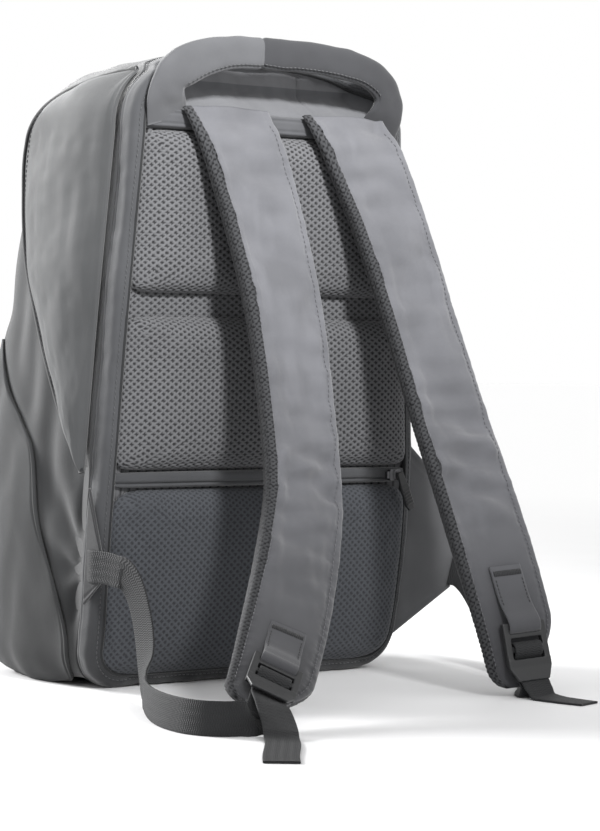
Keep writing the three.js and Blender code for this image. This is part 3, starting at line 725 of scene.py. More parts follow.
def woven(name, colour, yarn=0.0009, sheen=0.25, mottle=0.16, painted_shade_heights=None, highlight_streaks=False):
    """Plain weave: crossing yarns, uneven dye, worn ridges. Painted shade can darken it towards the floor,
    between two given heights, and painted highlights can streak it upright.
    """
    roughness = 0.82
    material, tree, shader = new_material(name, roughness, sheen, specular=0.25)
    split = node(tree, "ShaderNodeSeparateXYZ", {0: coordinate(tree, "UV")})
    u, v = split.outputs[0], split.outputs[1]
    weave = math_node(tree, "MULTIPLY", wave(tree, u, yarn), wave(tree, v, yarn))
    where = coordinate(tree, "Object")
    fine = speckle(tree, where, 700.0, 3.0)
    patches = remap(tree, speckle(tree, where, 26.0, 4.0), 0.34, 0.66)
    uneven = math_node(tree, "ADD", scaled(tree, fine, 0.4), scaled(tree, patches, 0.6))
    light = shade(colour, 1 + mottle * 2)
    dyed = blend_colour(tree, uneven, shade(colour, 1 - mottle * 2), light)
    yarns = blend_colour(tree, math_node(tree, "MULTIPLY_ADD", weave, 0.08, 0.5), dyed, light)
    shown = worn_edges(tree, yarns, shade(colour, 1.35), 0.35)
    # Painted highlights: lighter streaks drawn out upright.
    if highlight_streaks:
        drawn_out = {"Vector": where, "Rotation": (0.3, 0.5, 0.4), "Scale": (34, 34, 9)}
        streaks = speckle(tree, node(tree, "ShaderNodeMapping", drawn_out).outputs[0], 1.0, 5.0)
        streak_highlight = remap(tree, streaks, 0.58, 0.7, 0.0, 0.55)
        shown = blend_colour(tree, streak_highlight, shown, shade(colour, 1.6))
    # Painted shade: darker towards the floor, fading out between the two given heights.
    if painted_shade_heights:
        height = node(tree, "ShaderNodeSeparateXYZ", {0: where}).outputs[2]
        unshaded = remap(tree, height, *painted_shade_heights, 0.2, 1.0)
        shown = blend_colour(tree, unshaded, shade(colour, 0.4), shown)
    rough = remap(tree, fine, 0.0, 1.0, roughness - 0.08, roughness + 0.08)
    relief = math_node(tree, "ADD", scaled(tree, weave, 0.5), fine)
    finish_shader(tree, shader, shown, relief, 0.5, 0.00016, rough)
    return material


def air_mesh(name, strand, hole):
    """Spacer mesh: the modelled strands are light, the cells between them dark."""
    material, tree, shader = new_material(name, 0.9, 0.15, specular=0.2)
    relief = node(tree, "ShaderNodeAttribute", attribute_name="relief").outputs["Fac"]
    where = coordinate(tree, "Object")
    fibre = speckle(tree, where, 1500.0, 2.0)
    yarn = blend_colour(tree, speckle(tree, where, 18.0, 3.0), shade(strand, 0.8), shade(strand, 1.15))
    mixed = blend_colour(tree, remap(tree, relief, 0.1, 0.75), hole, yarn)
    speckled = blend_colour(tree, scaled(tree, fibre, 0.35), mixed, hole)
    finish_shader(tree, shader, speckled, fibre, 0.4, 0.0003)
    return material


def ribbed_webbing(name, colour):
    """Narrow woven band: ribs across, yarn columns along, darker between the ribs."""
    rib, column, zigzag = 0.0016, 0.0011, 0.0055
    material, tree, shader = new_material(name, 0.7, 0.06, specular=0.3)
    split = node(tree, "ShaderNodeSeparateXYZ", {0: coordinate(tree, "UV")})
    u, v = split.outputs[0], split.outputs[1]
    sway = scaled(tree, wave(tree, u, zigzag), 0.3 * rib)
    ribs = wave(tree, math_node(tree, "ADD", v, sway), rib)
    columns = wave(tree, u, column)
    weave = math_node(tree, "ADD", scaled(tree, ribs, 0.35), scaled(tree, columns, 0.15))
    height = math_node(tree, "ADD", weave, 0.5)
    fine = speckle(tree, coordinate(tree, "Object"), 420.0, 3.0)
    dark = shade(colour, 0.7)
    yarn = blend_colour(tree, height, dark, shade(colour, 1.25))
    mixed = blend_colour(tree, scaled(tree, fine, 0.4), yarn, dark)
    finish_shader(tree, shader, mixed, height, 0.8, 0.0004)
    return material


def moulded(name, colour, roughness, metallic=0.0):
    """Moulded plastic or painted metal with a fine grain and worn, lighter edges."""
    material, tree, shader = new_material(name, roughness, metallic=metallic)
    where = coordinate(tree, "Object")
    grain = speckle(tree, where, 900.0, 3.0)
    broad = speckle(tree, where, 60.0, 3.0)
    mixed = blend_colour(tree, broad, shade(colour, 0.8), shade(colour, 1.25))
    worn = worn_edges(tree, mixed, shade(colour, 2.4), 0.6)
    rough = remap(tree, broad, 0.0, 1.0, roughness - 0.08, roughness + 0.1)
    finish_shader(tree, shader, worn, grain, 0.25, 0.0002, rough)
    return material


# The body, pouch, gusset and strap cloth are darkened towards the floor as painted shade.
CLOTH = woven("body_cloth", (0.0255, 0.0264, 0.0277), mottle=0.2, painted_shade_heights=(0.0, 0.16))
POUCH_CLOTH = woven("pouch_cloth", (0.033, 0.034, 0.0352), sheen=0.1, mottle=0.2, painted_shade_heights=(0.0, 0.2))
SIDE_CLOTH = woven("side_pad_cloth", (0.044, 0.0454, 0.0468))
GUSSET_CLOTH = woven("gusset_cloth", (0.042, 0.0432, 0.0462), painted_shade_heights=(0.0, 0.12))
HANDLE_CLOTH = woven("handle_cloth", (0.062, 0.063, 0.067))
# The wings are one cloth: the left one is darker as painted shade.
WING_CLOTH = {
    "left": woven("left_wing_shaded_cloth", (0.026, 0.0265, 0.028)),
    "right": woven("right_wing_cloth", (0.09, 0.091, 0.095)),
}
# Strap cloth: painted shade towards the floor and painted highlights in upright streaks.
STRAP_CLOTH = woven("strap_cloth", (0.084, 0.085, 0.0925), sheen=0.35, mottle=0.22, painted_shade_heights=(0.03, 0.17),
                    highlight_streaks=True)
# One cloth in the dent under the handle: lightened as painted light where the handle shades it, darkened as
# painted shade on the slope that faces up.
DENT_CLOTH_PAINTED_LIGHT = woven("dent_cloth_painted_light", (0.135, 0.136, 0.142))
SLOPE_CLOTH_PAINTED_SHADE = woven("dent_slope_cloth_painted_shade", (0.085, 0.0865, 0.092))
GRIP_CLOTH = woven("grip_cloth", (0.026, 0.0265, 0.029))
BAND_CLOTH = woven("band_cloth", (0.052, 0.053, 0.057))
PIPING_CLOTH = woven("piping_cloth", (0.013, 0.0135, 0.0145), yarn=0.0007)
PAD_MESH = air_mesh("pad_mesh", (0.126, 0.127, 0.133), (0.02, 0.02, 0.0215))
LOW_PAD_MESH = air_mesh("low_pad_mesh", (0.062, 0.066, 0.074), (0.026, 0.0275, 0.031))
# The strap's mesh is darkened to paint the shade on the strap's edges and underside.
STRAP_MESH_PAINTED_SHADE = air_mesh("strap_mesh_painted_shade", (0.05, 0.051, 0.054), (0.006, 0.006, 0.007))
WEBBING = ribbed_webbing("strap_webbing", (0.016, 0.0166, 0.0179))
PLASTIC = moulded("buckle_plastic", (0.013, 0.0135, 0.0145), 0.52)
METAL = moulded("slider_metal", (0.09, 0.09, 0.095), 0.35, metallic=0.85)
THREAD = woven("thread", (0.05, 0.051, 0.054), yarn=0.0003)
BARTACK_THREAD = woven("bartack_thread", (0.022, 0.0225, 0.024), yarn=0.0003)
STRAP_THREAD = woven("strap_thread", (0.088, 0.089, 0.096), yarn=0.0003)


# Camera, light and floor


def set_camera():
    """Camera at the photo's viewing angle, for an upright frame of 600 by 831."""
    turn, down, roll = (math.radians(a) for a in (-38.6, 1.7, 1.0))
    aside, distance, height = 0.0849, 2.0947, 0.2496
    up = Vector((0, 0, 1))
    right = Vector((math.cos(turn), math.sin(turn), 0))
    ahead = Vector((-math.sin(turn), math.cos(turn), 0))
    spot = aside * right - distance * ahead + height * up
    forward = ahead * math.cos(down) - up * math.sin(down)
    level = ahead * math.sin(down) + up * math.cos(down)
    tilted_right = right * math.cos(roll) + level * math.sin(roll)
    tilted_up = level * math.cos(roll) - right * math.sin(roll)
    data = bpy.data.cameras.new("photo_camera")
    data.sensor_fit = "VERTICAL"
    data.sensor_height = 24
    data.lens = 82.25
    camera = bpy.data.objects.new("photo_camera", data)
    axes = Matrix((tilted_right, tilted_up, -forward)).transposed()
    camera.matrix_world = Matrix.Translation(spot) @ axes.to_4x4()
    bpy.context.scene.collection.objects.link(camera)
    bpy.context.scene.camera = camera


def area_light(name, spot, target, size, watts, spread):
    data = bpy.data.lights.new(name, "AREA")
    data.shape = "DISK"
    data.size = size
    data.energy = watts
    data.spread = math.radians(spread)
    light = bpy.data.objects.new(name, data)
    aim = Vector(target) - Vector(spot)
    light.matrix_world = Matrix.Translation(spot) @ aim.to_track_quat("-Z", "Y").to_matrix().to_4x4()
    bpy.context.scene.collection.objects.link(light)


def set_light():
    """Bright even surroundings, a soft key from the upper left and window light on the left side."""
    world = bpy.data.worlds.new("studio")
    world.use_nodes = True
    ground = world.node_tree.nodes["Background"]
    ground.inputs["Color"].default_value = (1, 1, 1, 1)
    ground.inputs["Strength"].default_value = 1.0
    bpy.context.scene.world = world
    area_light("key", (-0.4, -1.7, 1.4), (-0.05, -0.1, 0.64), size=0.35, watts=5.6, spread=38)
    area_light("window", (-0.9, 1.5, 0.9), (-0.14, 0, 0.36), size=0.7, watts=9, spread=60)
    bpy.context.scene.view_settings.view_transform = "Standard"


def floor_piece():
    """Pale floor that fades to white further off."""
    material, tree, shader = new_material("pale_floor", 0.6, specular=0.3)
    where = coordinate(tree, "Object")
    near = blend_colour(tree, speckle(tree, where, 9.0, 6.0), (0.8, 0.8, 0.805), (0.86, 0.86, 0.865))
    distance = node(tree, "ShaderNodeVectorMath", {0: where}, operation="LENGTH").outputs["Value"]
    colour = blend_colour(tree, remap(tree, distance, 0.5, 2.4), near, (0.99, 0.99, 0.99))
    tree.links.new(colour, shader.inputs["Base Color"])
    reach = 9000
    steps = np.linspace(-reach, reach, 9)
    shape = Shape()
    shape.grid([[(x, y, 0) for x in steps] for y in steps])
    shape.piece("floor", [material], closed=False)


# Small sewn and moulded details


def band_section(facets, power):
    """Unit section of a flat rounded band, as shares of half its width and half its thickness."""
    return superellipse(2 * np.pi * (np.arange(facets) + 0.5) / facets, power)


def ribbon_rings(centres, acrosses, width, thickness, facets, power):
    """Rings of a flat band along a line of centres with a direction across it at each."""
    centres = np.asarray(centres, float)
    aheads = np.gradient(centres, axis=0)
    wide, deep = band_section(facets, power)
    rings = []
    for centre, across, ahead in zip(centres, acrosses, aheads):
        ahead = unit(ahead)
        across = square_to(across, ahead)
        through = np.cross(across, ahead)
        rings.append(centre + np.outer(wide * width / 2, across) + np.outer(deep * thickness / 2, through))
    return np.array(rings)


def cord_rings(line, radius, closed=False):
    """Rings of a round cord along a line of points."""
    facets = 8
    if closed:
        aheads = np.roll(line, -1, axis=0) - np.roll(line, 1, axis=0)
    else:
        aheads = np.gradient(line, axis=0)
    angles = 2 * np.pi * np.arange(facets) / facets
    rings = []
    side = np.array([0.0, 1.0, 0.0])
    for centre, ahead in zip(line, aheads):
        ahead = unit(ahead)
        side = square_to(side, ahead)
        other = np.cross(ahead, side)
        rings.append(centre + radius * (np.outer(np.cos(angles), side) + np.outer(np.sin(angles), other)))
    return np.array(rings)


STITCH_PITCH = 3.6
# Share along a stitch, and share of its full thickness there
STITCH_PROFILE = ((-0.5, 0.15), (-0.42, 0.75), (-0.2, 1.0), (0.2, 1.0), (0.42, 0.75), (0.5, 0.15))


def stitch_row(shape, places, outs, pitch=STITCH_PITCH, length=2.5, thickness=0.75, sink=0.1):
    """Thread stitches along a line of points: small rounded capsules that lie on the cloth."""
    places = np.asarray(places, float)
    outs = np.asarray(outs, float)
    runs = run_along(places)
    angles = 2 * np.pi * np.arange(6) / 6
    look = 0.4

    def read(rows, run):
        return np.array([np.interp(run, runs, rows[:, c]) for c in range(3)])

    for run in np.arange(pitch / 2, runs[-1], pitch):
        at = read(places, run)
        out = unit(read(outs, run))
        ahead = unit(read(places, run + look) - read(places, run - look))
        side = unit(np.cross(ahead, out))
        rings = []
        for share, fat in STITCH_PROFILE:
            middle = at + ahead * share * length + out * (thickness * 0.5 * fat - sink - 0.25 * abs(share))
            radius = thickness / 2 * fat
            rings.append([middle + radius * (math.cos(a) * side + math.sin(a) * out) for a in angles])
        shape.tube(np.array(rings))


def block(shape, low, high, taper=(1.0, 1.0), lean=0.0):
    """Six sided block from corner to corner; its lower end may narrow and lean outwards."""
    rows = []
    for z in (low[2], high[2]):
        for y, narrow, shift in ((low[1], taper[0], lean), (high[1], taper[1], 0.0)):
            rows.append([(low[0] * narrow, y, z + shift), (high[0] * narrow, y, z + shift)])
    shape.slab(np.array(rows[2:]), np.array(rows[:2]))


def fuse(piece, voxel, smooth=8):
    """Joins a piece's blocks into one moulded skin with soft edges."""
    remesh = piece.modifiers.new("fuse", "REMESH")
    remesh.mode = "VOXEL"
    remesh.voxel_size = voxel * MM
    soften = piece.modifiers.new("soften", "SMOOTH")
    soften.iterations = smooth
    graph = bpy.context.evaluated_depsgraph_get()
    mesh = bpy.data.meshes.new_from_object(piece.evaluated_get(graph))
    old = piece.data
    piece.modifiers.clear()
    piece.data = mesh
    mesh.name = old.name
    bpy.data.meshes.remove(old)
    mesh.polygons.foreach_set("use_smooth", [True] * len(mesh.polygons))
    return piece


def hang(shape, spot, swing):
    """Stands a small shape, drawn facing up, on the back face, swung sideways about its top."""
    local = np.concatenate(shape.points)
    x = local[:, 0] * math.cos(swing) - local[:, 1] * math.sin(swing)
    z = local[:, 0] * math.sin(swing) + local[:, 1] * math.cos(swing)
    shape.points = [np.array(spot) + np.stack([x, -local[:, 2], z], axis=1)]


# Webbing, buckles and tabs


def settled(centre, across, ahead):
    """Lowers webbing that hovers just above the floor until it lies on it."""
    rest, near, far = 0.1, 1.6, 4.0
    through = np.cross(across, ahead)
    half = abs(across[2]) * WEBBING_WIDTH / 2 + abs(through[2]) * WEBBING_THICKNESS / 2
    lowest = centre[2] - half
    drop = (lowest - rest) * (1 - smoothstep(lowest, near, far))
    return centre - np.array([0, 0, drop])


def webbing_piece(side):
    """One length of webbing: from the wing through the buckle to the free end."""
    facets, power = 20, 7
    load, tail = ROUTES[side]
    centre, right, up, out = buckle_frame(side)
    acrosses = []
    for rows, route in zip(ACROSS[side], (load, tail)):
        ways = [[along(rows, "point", axis, k) for axis in "xyz"] for k in range(len(route))]
        acrosses.append([unit(np.array(way)) for way in ways])
    sense = 1 if np.dot(acrosses[0][-1], right) > 0 else -1
    loop = [centre + y * up + z * out for y, z in BUCKLE_LOOP]
    points = [*load, *loop, *tail]
    directions = np.array([*acrosses[0], *([sense * right] * len(loop)), *acrosses[1]])
    line = Line(points)
    centres, across_list = [], []
    for share in line.even(1.3):
        number = share * (len(points) - 1)
        k = min(int(number), len(points) - 2)
        ahead = line.ahead(share)
        across = square_to(directions[k] + (number - k) * (directions[k + 1] - directions[k]), ahead)
        centres.append(settled(line.at(share), across, ahead))
        across_list.append(across)
    rings = ribbon_rings(centres, across_list, WEBBING_WIDTH, WEBBING_THICKNESS, facets, power)
    wide, _ = band_section(facets, power)
    runs = run_along(centres)
    u, v = np.meshgrid(np.concatenate([wide, wide[:1]]) * WEBBING_WIDTH / 2, runs)
    shape = Shape()
    shape.tube(rings, uv=np.stack([u, v], axis=2))
    piece = shape.piece(f"strap_webbing_{side}", [WEBBING])
    place(piece, [f"webbing_{side}", f"webbing_tail_{side}"])


def buckle_piece(side):
    """Ladder lock: rails, bars and a tapered lip, moulded in one."""
    shape = Shape()
    half = BUCKLE_WIDTH / 2
    rail = 12.4
    block(shape, (-half, -13.5, -2.3), (-rail, 18, 2.3))
    block(shape, (rail, -13.5, -2.3), (half, 18, 2.3))
    block(shape, (-half, 13.6, -2.2), (half, 18, 2.2))
    block(shape, (-13, 7.2, -1.6), (13, 10.4, 2.2))
    block(shape, (-13, -2.8, -1.9), (13, 1.6, 1.9))
    block(shape, (-half, -14, 0.0), (half, -7.6, 2.7))
    block(shape, (-half, -23, 0.1), (half, -13, 2.7), taper=(0.72, 1.0), lean=2.2)
    centre, right, up, out = buckle_frame(side)
    local = np.concatenate(shape.points)
    shape.points = [centre + local @ np.array([right, up, out])]
    piece = fuse(shape.piece(f"ladder_lock_{side}", [PLASTIC]), 0.52)
    place(piece, [f"buckle_{side}"])


# The tab's way down the strap: distance from the strap's end, and height over its face
TAB_FLAT = ((TAB_START, 1.8), (78, 2.2), (70, 2.4), (64, 2.7), (58, 3.3), (51, 5.4))
# The tab's way round the buckle's top bar: up along the strap, and out of it
TAB_LOOP = (
    (19.5, 3.2), (16.8, 3.8), (13.8, 3.6), (11.7, 2.2), (11, 0), (11.6, -2.4), (13.6, -3.4), (18, -3.5),
)


def tab_piece(side):
    """Sewn tab that holds the buckle's top bar, with its bartack and edge stitches."""
    thickness = 1.8
    centre, right, up, out = buckle_frame(side)
    flat = [strap_surface(side, distance, over) for distance, over in TAB_FLAT]
    line = Line([*flat, *(centre + y * up + z * out for y, z in TAB_LOOP)])
    centres = [line.at(t) for t in line.even(0.8)]
    shape = Shape()
    shape.tube(ribbon_rings(centres, [right] * len(centres), TAB_WIDTH, thickness, 24, 7))
    place(shape.piece(f"buckle_tab_{side}", [STRAP_CLOTH]), [f"strap_tab_{side}"])

    def face(run, offset):
        """Point on the tab's outer face at a distance from its sewn end."""
        share = line.share_at(run)
        ahead = line.ahead(share)
        across = square_to(right, ahead)
        lift = np.cross(across, ahead)
        lift = lift if np.dot(lift, out) > 0 else -lift
        return line.at(share) + offset * across + thickness / 2 * lift

    thread = Shape()
    bartack_half = 10.4
    for offset in np.linspace(-bartack_half, bartack_half, 17):
        row = [face(run, offset) for run in (3.7, 5, 6, 7, 8.3)]
        stitch_row(thread, row, [out] * len(row), pitch=4.6, length=4.4, thickness=1.5, sink=0.35)
    for sense in (-1, 1):
        edge = [face(run, sense * 10.6) for run in (10, 15, 20, 25, 30)]
        stitch_row(thread, edge, [out] * len(edge), pitch=2.8, length=2.0, thickness=0.7)
    place(thread.piece(f"bartack_{side}", [BARTACK_THREAD]), [])


# Pads and straps


def lattice(uv, wide, high):
    """Height of an air mesh: 1 on its strands, 0 in its diamond cells. One diagonal is stronger."""
    u = uv[..., 0] / wide
    v = uv[..., 1] / high
    ridge = np.maximum(np.cos(2 * np.pi * (u + v)), 0.8 * np.cos(2 * np.pi * (u - v)) - 0.1)
    return smoothstep(ridge, -0.2, 0.75)


def panel_half(z):
    """Half width left for what lies on the panel, inside the gusset's lip."""
    if z < BASE_ROUND:
        side = RIM_SIDE[0]["half"] - BASE_ROUND + math.sqrt(BASE_ROUND ** 2 - (BASE_ROUND - z) ** 2)
    else:
        side = along(RIM_SIDE, "z", "half", z)
    return side - GUSSET_LIP - 0.6


def crowned_steps(half, thickness, sharp, step):
    """Shares from edge to edge, evenly spaced over the crowned face of a foam block."""
    share = np.linspace(0, 1, 2000)
    over = (1 - share ** sharp) ** 0.5 * thickness
    runs = np.concatenate([[0], np.cumsum(np.hypot(np.diff(share * half), np.diff(over)))])
    count = max(int(round(runs[-1] / step)), 3)
    right = np.interp(np.linspace(0, runs[-1], count + 1), runs, share)
    return np.concatenate([-right[:0:-1], right])


def cushion(low, high, power, thickness, half, step, sharp=16):
    """Grid of points over a foam block on the panel, with its border on the panel."""
    middle = (low + high) / 2
    tall = (high - low) / 2
    p = crowned_steps(half(middle), thickness, sharp, step)[None, :]
    q = crowned_steps(tall, thickness, sharp, step)[:, None]
    size = np.maximum(np.abs(p), np.abs(q))
    rounding = size / np.maximum((np.abs(p) ** power + np.abs(q) ** power) ** (1 / power), 1e-9)
    over = np.sqrt(1 - size ** sharp) * thickness
    z = middle + q * rounding * tall
    half_at = np.vectorize(half)(z)
    x = p * rounding * half_at
    face = np.vectorize(rear_face)(x, z)
    points = np.stack([x, face + PANEL_SEAT - over, z], axis=2)
    beside = np.abs(p) * half(middle) - half(middle) > np.abs(q) * tall - tall
    u = x + np.where(beside, np.sign(p) * (thickness - over), 0)
    v = z + np.where(beside, 0, np.sign(q) * (thickness - over))
    return points, np.stack([u, v], axis=2)


def cushion_shape(points, uv, relief=None):
    """Closed shape of a cushion's grid with a flat back."""
    shape = Shape()
    rim = shape.grid(points, uv=uv, relief=relief)
    shape.cap(rim[::-1])
    return shape


# Lower and upper edge of each pad, squareness, mesh cell width and height, depth of the mesh, material
PADS = table(
    "name low high power wide tall relief material",
    ("back_pad_lower", 8.5, 139, 12, 5.9, 5.0, 0.6, LOW_PAD_MESH),
    ("back_pad_middle", 152, 258, 18, 7.0, 4.6, 0.9, PAD_MESH),
    ("back_pad_upper", 274, 386, 18, 7.0, 4.6, 0.9, PAD_MESH),
)


def back_pads():
    """Foam pads under air mesh whose strands and cells are modelled."""
    thickness = PAD_THICKNESS - 1.2
    for row in PADS:
        low, high, power = row["low"], row["high"], row["power"]
        fine, uv = cushion(low, high, power, thickness, panel_half, 1.0)
        coarse, _ = cushion(low, high, power, thickness, panel_half, 8)
        points = fine + swollen(coarse, *fine.shape[:2], pressure=5, cap=2.4)
        points[..., 1] -= 0.5 * unevenness(points, 42, low)
        relief = lattice(uv, row["wide"], row["tall"])
        points += grid_normals(points) * (relief[..., None] - 1) * row["relief"]
        piece = cushion_shape(points, uv, relief).piece(f"{row['name']}_foam", [row["material"]])
        place(piece, [row["name"]])


def strap_section():
    """Section round a strap: shares across and through, finer where it is mesh, and what is cloth."""
    mean_half = 33
    wide, deep = superellipse(np.linspace(0, 2 * np.pi, 4001), 4)
    steps = np.hypot(np.diff(wide) * mean_half, np.diff(deep) * STRAP_THICKNESS / 2)
    runs = np.concatenate([[0], np.cumsum(steps)])
    start = runs[np.argmax(deep > 0.3)]
    stop = runs[np.argmax((deep < 0.84) & (wide < 0))]
    edge_end = stop + 14
    cloth_runs = np.arange(start, stop, 1.5)
    edge_runs = np.arange(stop, edge_end, 0.95)
    under_runs = np.arange(edge_end, runs[-1] + start, 1.4)
    samples = np.concatenate([cloth_runs, np.concatenate([edge_runs, under_runs]) % runs[-1]])
    is_cloth = np.arange(len(samples)) < len(cloth_runs)
    return np.interp(samples, runs, wide), np.interp(samples, runs, deep), is_cloth


def strap_rings(line, frames, wide, deep):
    """Plain rings of a strap: plump underneath, its end rounded and cut away on one side for the buckle."""
    corner = 14.0
    cut_start, cut_length = 48, 42
    rings = []
    for k, f in enumerate(frames):
        left = line.length * (1 - k / (len(frames) - 1))
        near = max(corner - left, 0) / corner
        width = f["width"] - 2 * corner * (1 - math.sqrt(1 - 0.98 * near * near))
        thick = f["thick"] * (1 - 0.25 * near)
        plump = 0.75 * smoothstep(left, 50, 120) * smoothstep(line.length - left, 20, 70)
        through = deep * np.where(deep < 0, 1 + plump, 1) * thick / 2
        cut = 0.5 * smoothstep(cut_start - left, 0, cut_length)
        sideways = wide * np.where(wide > 0, 1 - cut, 1) * width / 2
        rings.append(f["centre"] + np.outer(sideways, f["across"]) + np.outer(through, f["out"]))
    return np.array(rings)


def strap_piece(side):
    """Foam shoulder strap: cloth on the outer face, air mesh on the edges and underside, sewn rims."""
    line, at = strap_frame(side)
    frames = [at(t) for t in line.even(1.15)]
    wide, deep, is_cloth = strap_section()
    rings = strap_rings(line, frames, wide, deep)
    outs = np.array([f["out"] for f in frames])[:, None, :]
    half = np.array([f["width"] / 2 for f in frames])[:, None]
    run = np.linspace(0, line.length, len(frames))[:, None]
    from_edge = half * (1 - np.abs(wide))[None, :]

    face = ramp(from_edge, 9) * is_cloth
    bend = bell(run / line.length, STRAP_BEND[side], 0.07)
    broad = unevenness(rings, 36, 3.0)
    cross_folds = unevenness(rings * np.array([0.45, 1, 1]), 13, 7.0)
    seam = bell(from_edge, 6.0, 1.3) * (0.8 + 0.2 * np.cos(2 * np.pi * run / STITCH_PITCH))
    pucker = bell(from_edge, 4.2, 4.5) * unevenness(rings, 5.5, 11.0)
    slack = smoothstep(line.length - run, 92, 130)
    folds = slack * face * (4.6 * broad + (2.4 + 7.5 * bend) * cross_folds)
    lift = folds + is_cloth * (1.1 * pucker - 0.8 * seam)
    points = rings + outs * lift[..., None]

    columns = np.flatnonzero(is_cloth)
    coarse = resample(rings[:, columns[::-1]], max(len(frames) // 9, 4), 11)
    puff = swollen(coarse, len(frames), len(columns), pressure=4, cap=1.8)
    points[:, columns[::-1]] += puff * (0.3 + 0.7 * slack)[..., None]

    uv = cloth_uv(points, wrap=True)
    relief = np.where(is_cloth[None, :], 1.0, lattice(uv[:, :-1], 4.4, 3.8))
    outward_ways = units(points - points.mean(axis=1, keepdims=True))
    points += outward_ways * (relief[..., None] - 1) * 0.8
    slots = np.where(is_cloth & np.roll(is_cloth, -1), 0, 1)
    shape = Shape()
    shape.tube(points, slot=np.broadcast_to(slots, (len(frames) - 1, len(slots))), relief=relief, uv=uv)
    piece = shape.piece(f"shoulder_strap_{side}", [STRAP_CLOTH, STRAP_MESH_PAINTED_SHADE])
    place(piece, [f"strap_{side}"])

    thread = Shape()
    sewn = slice(10, -14)
    sewn_share = 0.845
    for sense in (-1, 1):
        index = columns[np.argmin(np.abs(wide[columns] - sense * sewn_share))]
        stitch_row(thread, points[sewn, index], outs[sewn, 0], sink=-0.05)
    place(thread.piece(f"strap_stitches_{side}", [STRAP_THREAD]), [])


# Back panel, gusset and what is sewn to them


def panel_edge():
    """Half width of the panel at each height, just under the gusset's lip, from the lowest up."""
    inset = GUSSET_ROUND + 0.3
    corners = np.array([outline_offset(t, -inset) for t in np.linspace(0.0, 0.5, 400)])
    order = np.argsort(corners[:, 1])
    return corners[order, 1], corners[order, 0]


def back_panel_piece():
    """Board behind the pads: air mesh in the channels, smooth cloth in the dent under the handle, lightened
    as painted light where the handle shades it and darkened as painted shade where it slopes up.
    """
    mesh_top = 386.5
    heights, halves = panel_edge()
    low, high = heights[0] + 0.2, heights[-1] - 0.5
    rows = np.concatenate([np.linspace(low, 256, 24), np.arange(257, 276, 0.9), np.linspace(277, 386, 8),
                           np.linspace(387, high, 40)])
    cols = np.linspace(-1, 1, 190)
    grid = []
    for z in rows:
        half = max(np.interp(z, heights, halves), 6)
        grid.append([(x, rear_face(x, z) + 3.3, z) for x in cols * half])
    points = np.array(grid)
    x, z = points[..., 0], points[..., 2]
    dent = ramp(z - RECESS_LOW, 14) * ramp(100 - np.abs(x), 20)
    folds = unevenness(points * np.array([1, 1, 0.3]), 15, 4.0) + 0.6 * unevenness(points, 9, 8.0)
    uv = np.stack([x, z], axis=2)
    is_mesh = z < mesh_top
    relief = np.where(is_mesh, lattice(uv, 7.0, 4.6), 1.0)
    points[..., 1] += dent * (2.0 * folds + 1.4 * bell(x, 40, 1.1)) + (1 - relief) * 0.8
    # Slot 1 is the dent's cloth, lightened as painted light; slot 2, low in the dent where it slopes up, is
    # darkened as painted shade.
    slots = np.where(is_mesh[:-1, :-1], 0, np.where(z[:-1, :-1] < RECESS_HIGH + 3, 2, 1))
    shape = Shape()
    shape.slab(points, points + np.array([0, 2.2, 0]), slot=slots, under_slot=1, relief=relief, uv=uv)
    place(shape.piece("back_board", [PAD_MESH, DENT_CLOTH_PAINTED_LIGHT, SLOPE_CLOTH_PAINTED_SHADE]), ["back_panel"])


def gusset_section():
    """Section of the gusset as insets and depths, and how many of its points can be seen."""
    end = GUSSET_DEPTH - 0.3
    thickness = 2.2
    inner = GUSSET_ROUND - thickness
    quarter = np.linspace(0, math.pi / 2, 9)
    outer = [(0, d) for d in np.linspace(end, GUSSET_ROUND, 9)[:-1]]
    arc = [(GUSSET_ROUND * (1 - math.cos(a)), GUSSET_ROUND * (1 - math.sin(a))) for a in quarter]
    lip = [(7.8, 0), (8.5, 0.15), (GUSSET_LIP, 0.7), (GUSSET_LIP, 1.6), (8.4, 2.2)]
    inside = [(inner * math.cos(a), inner * math.sin(a)) for a in quarter[::-2]]
    under = [(GUSSET_ROUND - x, GUSSET_ROUND - y) for x, y in inside]
    return [*outer, *arc, *lip, *under, (thickness, end)], len(outer) + len(arc) + 1


def gusset_piece():
    """Strip round the back that covers the main zip, with sewn edges and a dark bound lip."""
    turns = np.arange(640) / 640
    section, seen = gusset_section()
    points = np.array([[edge_point(t, inset, depth) for inset, depth in section] for t in turns])
    normals = -grid_normals(points)
    number = np.arange(len(section))
    puckers = 0.5 * unevenness(points, 9, 2.0) + 2.0 * unevenness(points * UPRIGHT_FOLDS, 26, 6.0)
    seam = 0.9 * bell(number, 1.6, 0.55) + 0.5 * bell(number, 15.2, 0.5)
    points += normals * ((number < seen) * (puckers - 0.6) - seam)[..., None]
    shape = Shape()
    shape.hoop(points)
    place(shape.piece("gusset_strip", [GUSSET_CLOTH]), ["zip_gusset"])

    thread = Shape()
    sewn = [*range(len(turns)), 0]
    stitched = 15
    stitch_row(thread, points[sewn, stitched], normals[sewn, stitched], sink=0.0)
    place(thread.piece("gusset_stitches", [THREAD]), [])

    binding = Shape()
    bound = np.array([edge_point(t, GUSSET_LIP + 0.5, 0.7) for t in turns])
    binding.hoop(cord_rings(bound, 1.25, closed=True))
    place(binding.piece("lip_binding", [PIPING_CLOTH]), [])


def top_band_piece():
    """Binding above the upper pad into which the straps are sewn."""
    points, uv = cushion(387, 401, 10, 6, lambda z: 111, 0.9, sharp=8)
    for level in (390.2, 397.6):
        points[..., 1] += 0.9 * bell(points[..., 2], level, 0.7)
    points[..., 1] += 0.4 * unevenness(points, 8, 5.0)
    place(cushion_shape(points, uv).piece("strap_binding", [BAND_CLOTH]), ["top_band"])


